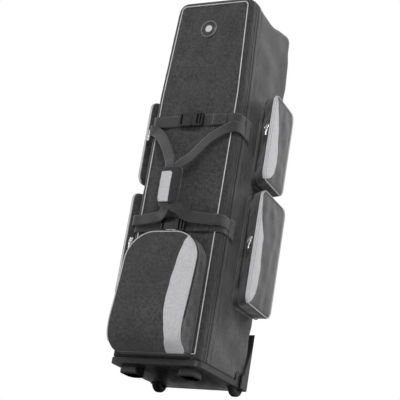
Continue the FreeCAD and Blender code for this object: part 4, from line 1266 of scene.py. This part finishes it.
class CASE_OT_straps(bpy.types.Operator):
    """Lays the two compression straps round the lid, with their sewn tails and the side anchors"""
    bl_idname = "case.straps"
    bl_label = "Straps and buckles"

    def execute(self, context):
        for level in LEVELS:
            for word, side in SIDES:
                self.strap(level, word, side)
        for word, side in SIDES:
            self.anchors(word, side)
        return {"FINISHED"}

    def strap(self, level, word, side):
        node = f"strap_{level}_{word}"
        low, high = span(node)
        thick = sizes().webbing_thickness
        gap = high[0] - HALF - thick if side > 0 else -low[0] - HALF - thick
        inner_end = low[0] if side > 0 else high[0]
        height = (low[2] + high[2]) / 2
        path, away = wrap_path(height, gap, inner_end, (side, high[1]))
        width = high[2] - low[2] - 0.001
        if inner_end * side < 0:
            path[0, 0] = inner_end
        points, faces, strip = ribbon(path, away, width, thick)
        mesh = build_mesh(node, points, faces, strip=strip)
        add_piece(f"web_{level}_{word}", mesh, "webbing", "lid", [node])
        if side > 0:
            self.patch(level, gap + thick, height, width)

    def patch(self, level, gap, height, width):
        """The strap's doubled-back tail beside the buckle, sewn down with a cross."""
        start = span(f"buckle_plug_{level}")[1][0] + PLUG_TRAVEL + TAIL_GAP
        end = min(start + TAIL_LENGTH, HALF - TAIL_EDGE)
        path = np.stack([np.linspace(start, end, 12), np.full(12, FRONT - gap - 0.0001),
                         np.full(12, height)], -1)
        away = np.tile([0.0, -1.0, 0.0], (12, 1))
        points, faces, strip = ribbon(path, away, width * 0.98, 0.0018)
        mesh = build_mesh("tail_" + level, points, faces, strip=strip)
        add_piece("tail_" + level, mesh, "patch", "lid", slot="webbing")
        face = FRONT - gap - 0.0019
        tall = width * 0.78
        cross_stitch("cross_" + level, (start + TAIL_HEM, face, height - tall / 2),
                     (end - start - 2 * TAIL_HEM, 0, 0), (0, 0, tall), (0, -1, 0), "lid")

    def anchors(self, word, side):
        node = NODES["anchor_tabs_" + word]
        points = np.array([v.co for v in node.data.vertices])
        parts = []
        for chosen in (points[:, 2] > 0.66, points[:, 2] <= 0.66):
            low, high = points[chosen].min(0), points[chosen].max(0)
            inner = low[0] if side > 0 else high[0]
            thick = high[0] - low[0]
            depth = np.linspace(low[1], high[1], 8)
            path = np.stack([np.full(8, inner), depth, np.full(8, (low[2] + high[2]) / 2)], -1)
            away = np.tile([float(side), 0.0, 0.0], (8, 1))
            parts.append(ribbon(path, away, high[2] - low[2], thick * 0.8))
            face = inner + side * thick * 0.8
            label = "high" if low[2] > 0.66 else "low"
            cross_stitch(f"anchor_cross_{label}_{word}",
                         (face, low[1] + 0.006, low[2] + 0.007), (0, high[1] - low[1] - 0.012, 0),
                         (0, 0, high[2] - low[2] - 0.014), (side, 0, 0), "case")
        merged = join_parts(parts)
        mesh = build_mesh("anchor_" + word, merged[0], merged[1], strip=merged[2])
        add_piece("anchor_web_" + word, mesh, "webbing", "case", ["anchor_tabs_" + word])


# ---------------------------------------------------------------- carry handle

class CASE_OT_carry_handle(bpy.types.Operator):
    """Makes the two drooping bands and the padded wrap that holds them together"""
    bl_idname = "case.carry_handle"
    bl_label = "Carry handle"

    def execute(self, context):
        low, high = span("grip_wrap")
        for word, side in SIDES:
            self.band(word, side, low, high)
        self.wrap(low, high)
        return {"FINISHED"}

    def band(self, word, side, low, high):
        """Band: from behind the lid's edge, down across the front to the wrap, and back out
        to the lower anchor. Each row is a place and the way the band faces there."""
        box_low, box_high = span("carry_band_" + word)
        edge = max(box_high[0], -box_low[0]) - 0.0028
        upper = box_high[2] - 0.021
        lower = box_low[2] + 0.021
        near = FRONT - 0.009
        grip_x, grip_y = (low[0] + high[0]) / 2, (low[1] + high[1]) / 2
        inner = grip_x + side * 0.013
        rows = [((edge, SEAM_LID - 0.002, upper), (1, 0, 0)),
                ((edge, FRONT + 0.010, upper), (1, 0, 0)),
                ((edge - 0.010, near - 0.002, upper - 0.002), (0.7, -0.7, 0)),
                ((edge - 0.040, near - 0.008, upper - 0.014), (0, -1, 0)),
                ((0.085, near - 0.024, upper - 0.052), (0, -1, 0.1)),
                ((0.040, grip_y + 0.010, high[2] + 0.040), (0, -1, 0.15)),
                ((None, grip_y + 0.001 + 0.002 * side, high[2] - 0.004), (0, -1, 0)),
                ((None, grip_y + 0.001 + 0.002 * side, low[2] + 0.006), (0, -1, 0)),
                ((0.026, grip_y + 0.012, low[2] - 0.018), (0, -1, -0.1)),
                ((0.052, near - 0.020, lower + 0.004), (0, -1, -0.1)),
                ((0.090, near - 0.014, lower - 0.001), (0, -1, 0)),
                ((edge - 0.036, near - 0.008, lower - 0.004), (0, -1, 0)),
                ((edge - 0.009, near - 0.005, lower - 0.004), (0.7, -0.7, 0)),
                ((edge, FRONT + 0.010, lower - 0.004), (1, 0, 0)),
                ((edge, SEAM_LID - 0.002, lower - 0.004), (1, 0, 0))]
        table = []
        for (x, y, z), (nx, ny, nz) in rows:
            across = inner if x is None else side * x
            table.append((across, y, z, side * nx, ny, nz))
        curve = smooth_path(table, 0.006)
        away = curve[:, 3:] / np.linalg.norm(curve[:, 3:], axis=1, keepdims=True)
        points, faces, strip = ribbon(curve[:, :3], away, 0.036, sizes().webbing_thickness)
        name = "sling_" + word
        mesh = build_mesh(name, points, faces, strip=strip)
        piece = add_piece(name, mesh, "webbing", None, ["carry_band_" + word])
        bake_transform(piece)

    def wrap(self, low, high):
        """Wrap: a superellipse carried down the bands, pinched at both ends."""
        centre = (low + high) / 2
        wide, deep = (high - low)[:2] / 2
        turn = np.linspace(0, 2 * math.pi, 72, endpoint=False)
        shape = np.stack([np.sign(np.cos(turn)) * np.abs(np.cos(turn)) ** 0.45,
                          np.sign(np.sin(turn)) * np.abs(np.sin(turn)) ** 0.75], -1)
        height = np.linspace(low[2], high[2], 44)
        share = np.abs(height - centre[2]) / (high[2] - centre[2])
        full = np.sqrt(np.clip(1 - share ** 7, 0, 1)) * 0.22 + 0.78
        outer = np.stack([centre[0] + np.outer(full, shape[:, 0] * wide),
                          centre[1] + np.outer(full * (0.94 + 0.06 * np.cos(share * 3)), shape[:, 1] * deep),
                          np.repeat(height[:, None], 72, 1)], -1)
        puff = 0.0007 * ripple(outer[..., 0], outer[..., 2], 0.035, 91)
        outer[..., 1] -= np.abs(puff)
        hole = np.stack([centre[0] + np.outer(np.full(44, 0.80), shape[:, 0] * wide),
                         centre[1] + np.outer(np.full(44, 0.42), shape[:, 1] * deep),
                         np.repeat(height[::-1, None], 72, 1)], -1)
        points = np.concatenate([outer, hole])
        # Light panel on the wrap's outer left-front flap. The rest is the black side panel in the grip's
        # dark colour, which carries painted shade.
        left = (centre[0] + wide * 0.20) - points[..., 0]
        top = high[2] - 0.016 - points[..., 2]
        front = centre[1] - 0.002 - points[..., 1]
        panel = np.minimum(np.minimum(left, top), front)
        mesh = build_mesh("wrap", points, grid_faces(88, 72, True, True), {"panel": panel})
        piece = add_piece("grip_pad", mesh, "grip_fabric", "carry_grip", ["grip_wrap"])


# ---------------------------------------------------------------- back handle

class CASE_OT_back_handle(bpy.types.Operator):
    """Makes the reinforcing yoke over the top edge and the haul handle on it"""
    bl_idname = "case.back_handle"
    bl_label = "Back handle"

    def execute(self, context):
        low, high = span("yoke")
        thick = 0.0032
        bend = 0.030
        turn = np.linspace(0, math.pi / 2, 10)
        top, back = high[2] - thick, high[1] - thick
        run = np.linspace(low[1], back - bend, 10)[:-1]
        drop = np.linspace(top - bend, low[2], 12)[1:]
        y = np.concatenate([run, back - bend + bend * np.sin(turn), np.full(11, back)])
        z = np.concatenate([np.full(9, top), top - bend + bend * np.cos(turn), drop])
        away_y = np.concatenate([np.zeros(9), np.sin(turn), np.ones(11)])
        away_z = np.concatenate([np.ones(9), np.cos(turn), np.zeros(11)])
        path = np.stack([np.zeros(len(y)), y, z], -1)
        away = np.stack([np.zeros(len(y)), away_y, away_z], -1)
        points, faces, strip = ribbon(path, away, high[0] - low[0], thick)
        mesh = build_mesh("yoke_patch", settled(points), faces, strip=strip)
        add_piece("yoke_patch", mesh, "webbing", "case", ["yoke"], slot="webbing")
        self.handle()
        return {"FINISHED"}

    def handle(self):
        """Handle: webbing down one side, through a round grip and up the other."""
        low, high = span("back_handle")
        wide = (high[0] - low[0]) / 2
        middle = (low[1] + high[1]) / 2
        rows = [(-wide + 0.013, middle, high[2] - 0.002), (-wide + 0.013, middle, high[2] - 0.026),
                (-wide + 0.022, middle, low[2] + 0.018), (-wide * 0.5, middle, low[2] + 0.012),
                (0, middle, low[2] + 0.012), (wide * 0.5, middle, low[2] + 0.012),
                (wide - 0.022, middle, low[2] + 0.018), (wide - 0.013, middle, high[2] - 0.026),
                (wide - 0.013, middle, high[2] - 0.002)]
        path = smooth_path(rows, 0.005)
        away = np.tile([0.0, 1.0, 0.0], (len(path), 1))
        points, faces, strip = ribbon(path - away * 0.0012, away, 0.022,
                                      sizes().webbing_thickness)
        mesh = build_mesh("haul_web", points, faces, strip=strip)
        add_piece("haul_web", mesh, "webbing", "back_handle", ["back_handle"])
        grip = np.stack([np.linspace(-wide * 0.52, wide * 0.52, 30), np.full(30, middle),
                         np.full(30, low[2] + 0.012)], -1)
        turn = np.linspace(0, 2 * math.pi, 20, endpoint=False)
        full = 1 - 0.25 * np.abs(np.linspace(-1, 1, 30)) ** 6
        rings = grip[:, None] + np.stack(
            [np.zeros((30, 20)), np.outer(full, np.cos(turn)) * 0.0042,
             np.outer(full, np.sin(turn)) * 0.0115], -1)
        points, faces = closed_ends(rings, grid_faces(30, 20))
        # The haul pad takes the grip's dark cloth, whose colour carries painted shade.
        piece = add_piece("haul_pad", build_mesh("haul_pad", points, faces,
                                                 {"panel": np.full(len(points), -1.0)}),
                          "grip_fabric", "back_handle")


# ---------------------------------------------------------------- moulded parts

KEPT_FINISHES = {
    "back_board": "board_plastic", "base_tray": "base_plastic", "rear_guard": "guard_plastic",
    "wheel_housing": "base_plastic", "foot": "foot_plastic", "axle": "axle_steel",
    "hub": "hub_plastic", "tyre": "wheel_rubber", "buckle_socket": "buckle_plastic",
    "buckle_plug": "buckle_plastic",
}


class CASE_OT_moulded(bpy.types.Operator):
    """Finishes the moulded base, guard, wheels, feet and buckles of the frame"""
    bl_idname = "case.moulded"
    bl_label = "Moulded parts"

    def execute(self, context):
        for name, node in NODES.items():
            if node.hide_render:
                continue
            found = [word for word in KEPT_FINISHES if name.startswith(word)]
            if not found:
                raise RuntimeError(f"no finish is set for {name}")
            material = finish(KEPT_FINISHES[found[0]])
            if node.data.materials:
                for index in range(len(node.data.materials)):
                    node.data.materials[index] = material
            else:
                node.data.materials.append(material)
        return {"FINISHED"}


# ---------------------------------------------------------------- stage

VIEW_POINT = (2.2209, -3.6638, -0.8098)
VIEW_RIGHT = (0.87018, 0.46654, 0.15849)
VIEW_DOWN = (-0.0182, 0.35188, -0.93587)
VIEW_AHEAD = (-0.49239, 0.81149, 0.31469)
VIEW_LENS = 123.5


class CASE_OT_stage(bpy.types.Operator):
    """Sets out the floor, the soft lights, the white surround and the camera"""
    bl_idname = "case.stage"
    bl_label = "Stage"

    def execute(self, context):
        self.floor()
        self.light("Key", (2.6, -4.2, 2.6), 2.0, 138.0)
        self.light("Fill", (-3.4, -2.6, 1.4), 3.0, 22.0)
        self.light("Rim", (2.6, 2.8, 2.4), 2.0, 60.0)
        self.surround()
        self.camera()
        view = bpy.context.scene.view_settings
        view.view_transform = "Standard"
        return {"FINISHED"}

    def floor(self):
        """Pale floor that can be seen from above only."""
        grid = np.array([(-6.0, -6.0, -0.0005), (6.0, -6.0, -0.0005), (6.0, 6.0, -0.0005),
                         (-6.0, 6.0, -0.0005)])
        mesh = bpy.data.meshes.new("floor")
        mesh.from_pydata(grid.tolist(), [], [(0, 1, 2, 3)])
        floor = bpy.data.objects.new("floor", mesh)
        bpy.context.scene.collection.objects.link(floor)
        shading = Shading("Floor", 0.7)
        shading.shader.inputs["Base Color"].default_value = (0.86, 0.86, 0.86, 1.0)
        shading.bump(shading.noise(3.0), 0.001, 0.1)
        clear = shading.node("ShaderNodeBsdfTransparent")
        back = shading.node("ShaderNodeNewGeometry").outputs["Backfacing"]
        both = shading.node("ShaderNodeMixShader", {0: back, 1: shading.shader.outputs[0],
                                                    2: clear.outputs[0]})
        output = shading.tree.nodes["Material Output"]
        shading.tree.links.new(both.outputs[0], output.inputs["Surface"])
        mesh.materials.append(shading.material)

    def light(self, name, place, size, power):
        lamp = bpy.data.lights.new(name, "AREA")
        lamp.shape = "DISK"
        lamp.size = size
        lamp.energy = power
        holder = bpy.data.objects.new(name, lamp)
        bpy.context.scene.collection.objects.link(holder)
        aim = np.array([0.0, 0.0, 0.6]) - np.array(place)
        holder.location = place
        direction = aim / np.linalg.norm(aim)
        side = np.cross(direction, [0.0, 0.0, 1.0])
        side /= np.linalg.norm(side)
        up = np.cross(side, direction)
        holder.matrix_world = Matrix((
            (side[0], up[0], -direction[0], place[0]), (side[1], up[1], -direction[1], place[1]),
            (side[2], up[2], -direction[2], place[2]), (0, 0, 0, 1)))

    def surround(self):
        """Plain white to look at, a softer grey to light by."""
        world = bpy.data.worlds.new("Surround")
        bpy.context.scene.world = world
        world.use_nodes = True
        tree = world.node_tree
        ground = tree.nodes["Background"]
        ground.inputs["Color"].default_value = (1, 1, 1, 1)
        ground.inputs["Strength"].default_value = 0.52
        white = tree.nodes.new("ShaderNodeBackground")
        white.inputs["Color"].default_value = (1, 1, 1, 1)
        rays = tree.nodes.new("ShaderNodeLightPath")
        both = tree.nodes.new("ShaderNodeMixShader")
        tree.links.new(rays.outputs["Is Camera Ray"], both.inputs[0])
        tree.links.new(ground.outputs[0], both.inputs[1])
        tree.links.new(white.outputs[0], both.inputs[2])
        tree.links.new(both.outputs[0], tree.nodes["World Output"].inputs["Surface"])

    def camera(self):
        lens = bpy.data.cameras.new("Camera")
        lens.lens = VIEW_LENS
        lens.sensor_width = 36.0
        lens.clip_end = 50.0
        holder = bpy.data.objects.new("Camera", lens)
        bpy.context.scene.collection.objects.link(holder)
        columns = (VIEW_RIGHT, [-part for part in VIEW_DOWN], [-part for part in VIEW_AHEAD],
                   VIEW_POINT)
        holder.matrix_world = Matrix([[column[row] for column in columns] for row in range(3)]
                                     + [[0, 0, 0, 1]])
        bpy.context.scene.camera = holder


class CASE_PT_panel(bpy.types.Panel):
    """Lists the case's operators in the sidebar"""
    bl_idname = "CASE_PT_panel"
    bl_label = "Golf Travel Case"
    bl_space_type = "VIEW_3D"
    bl_region_type = "UI"
    bl_category = "Travel Case"

    def draw(self, context):
        for operator in OPERATORS:
            self.layout.operator(operator.bl_idname)
        for group in (context.scene.case_sizes, context.scene.case_colours):
            column = self.layout.column()
            for key in group.bl_rna.properties.keys():
                if key not in {"rna_type", "name"}:
                    column.prop(group, key)


OPERATORS = (CASE_OT_body, CASE_OT_zips, CASE_OT_trim, CASE_OT_sliders, CASE_OT_side_pockets,
             CASE_OT_shoe_pocket, CASE_OT_straps, CASE_OT_carry_handle, CASE_OT_back_handle,
             CASE_OT_moulded, CASE_OT_stage)
CLASSES = (CaseSizes, CaseColours, *OPERATORS, CASE_PT_panel)


def register():
    for entry in CLASSES:
        bpy.utils.register_class(entry)
    bpy.types.Scene.case_sizes = bpy.props.PointerProperty(type=CaseSizes)
    bpy.types.Scene.case_colours = bpy.props.PointerProperty(type=CaseColours)


def unregister():
    del bpy.types.Scene.case_colours
    del bpy.types.Scene.case_sizes
    for entry in reversed(CLASSES):
        bpy.utils.unregister_class(entry)


def main():
    register()
    make_finishes()
    for operator in ("body", "zips", "trim", "sliders", "side_pockets", "shoe_pocket", "straps",
                     "carry_handle", "back_handle", "moulded", "stage"):
        getattr(bpy.ops.case, operator)()


if __name__ == "__main__":
    main()
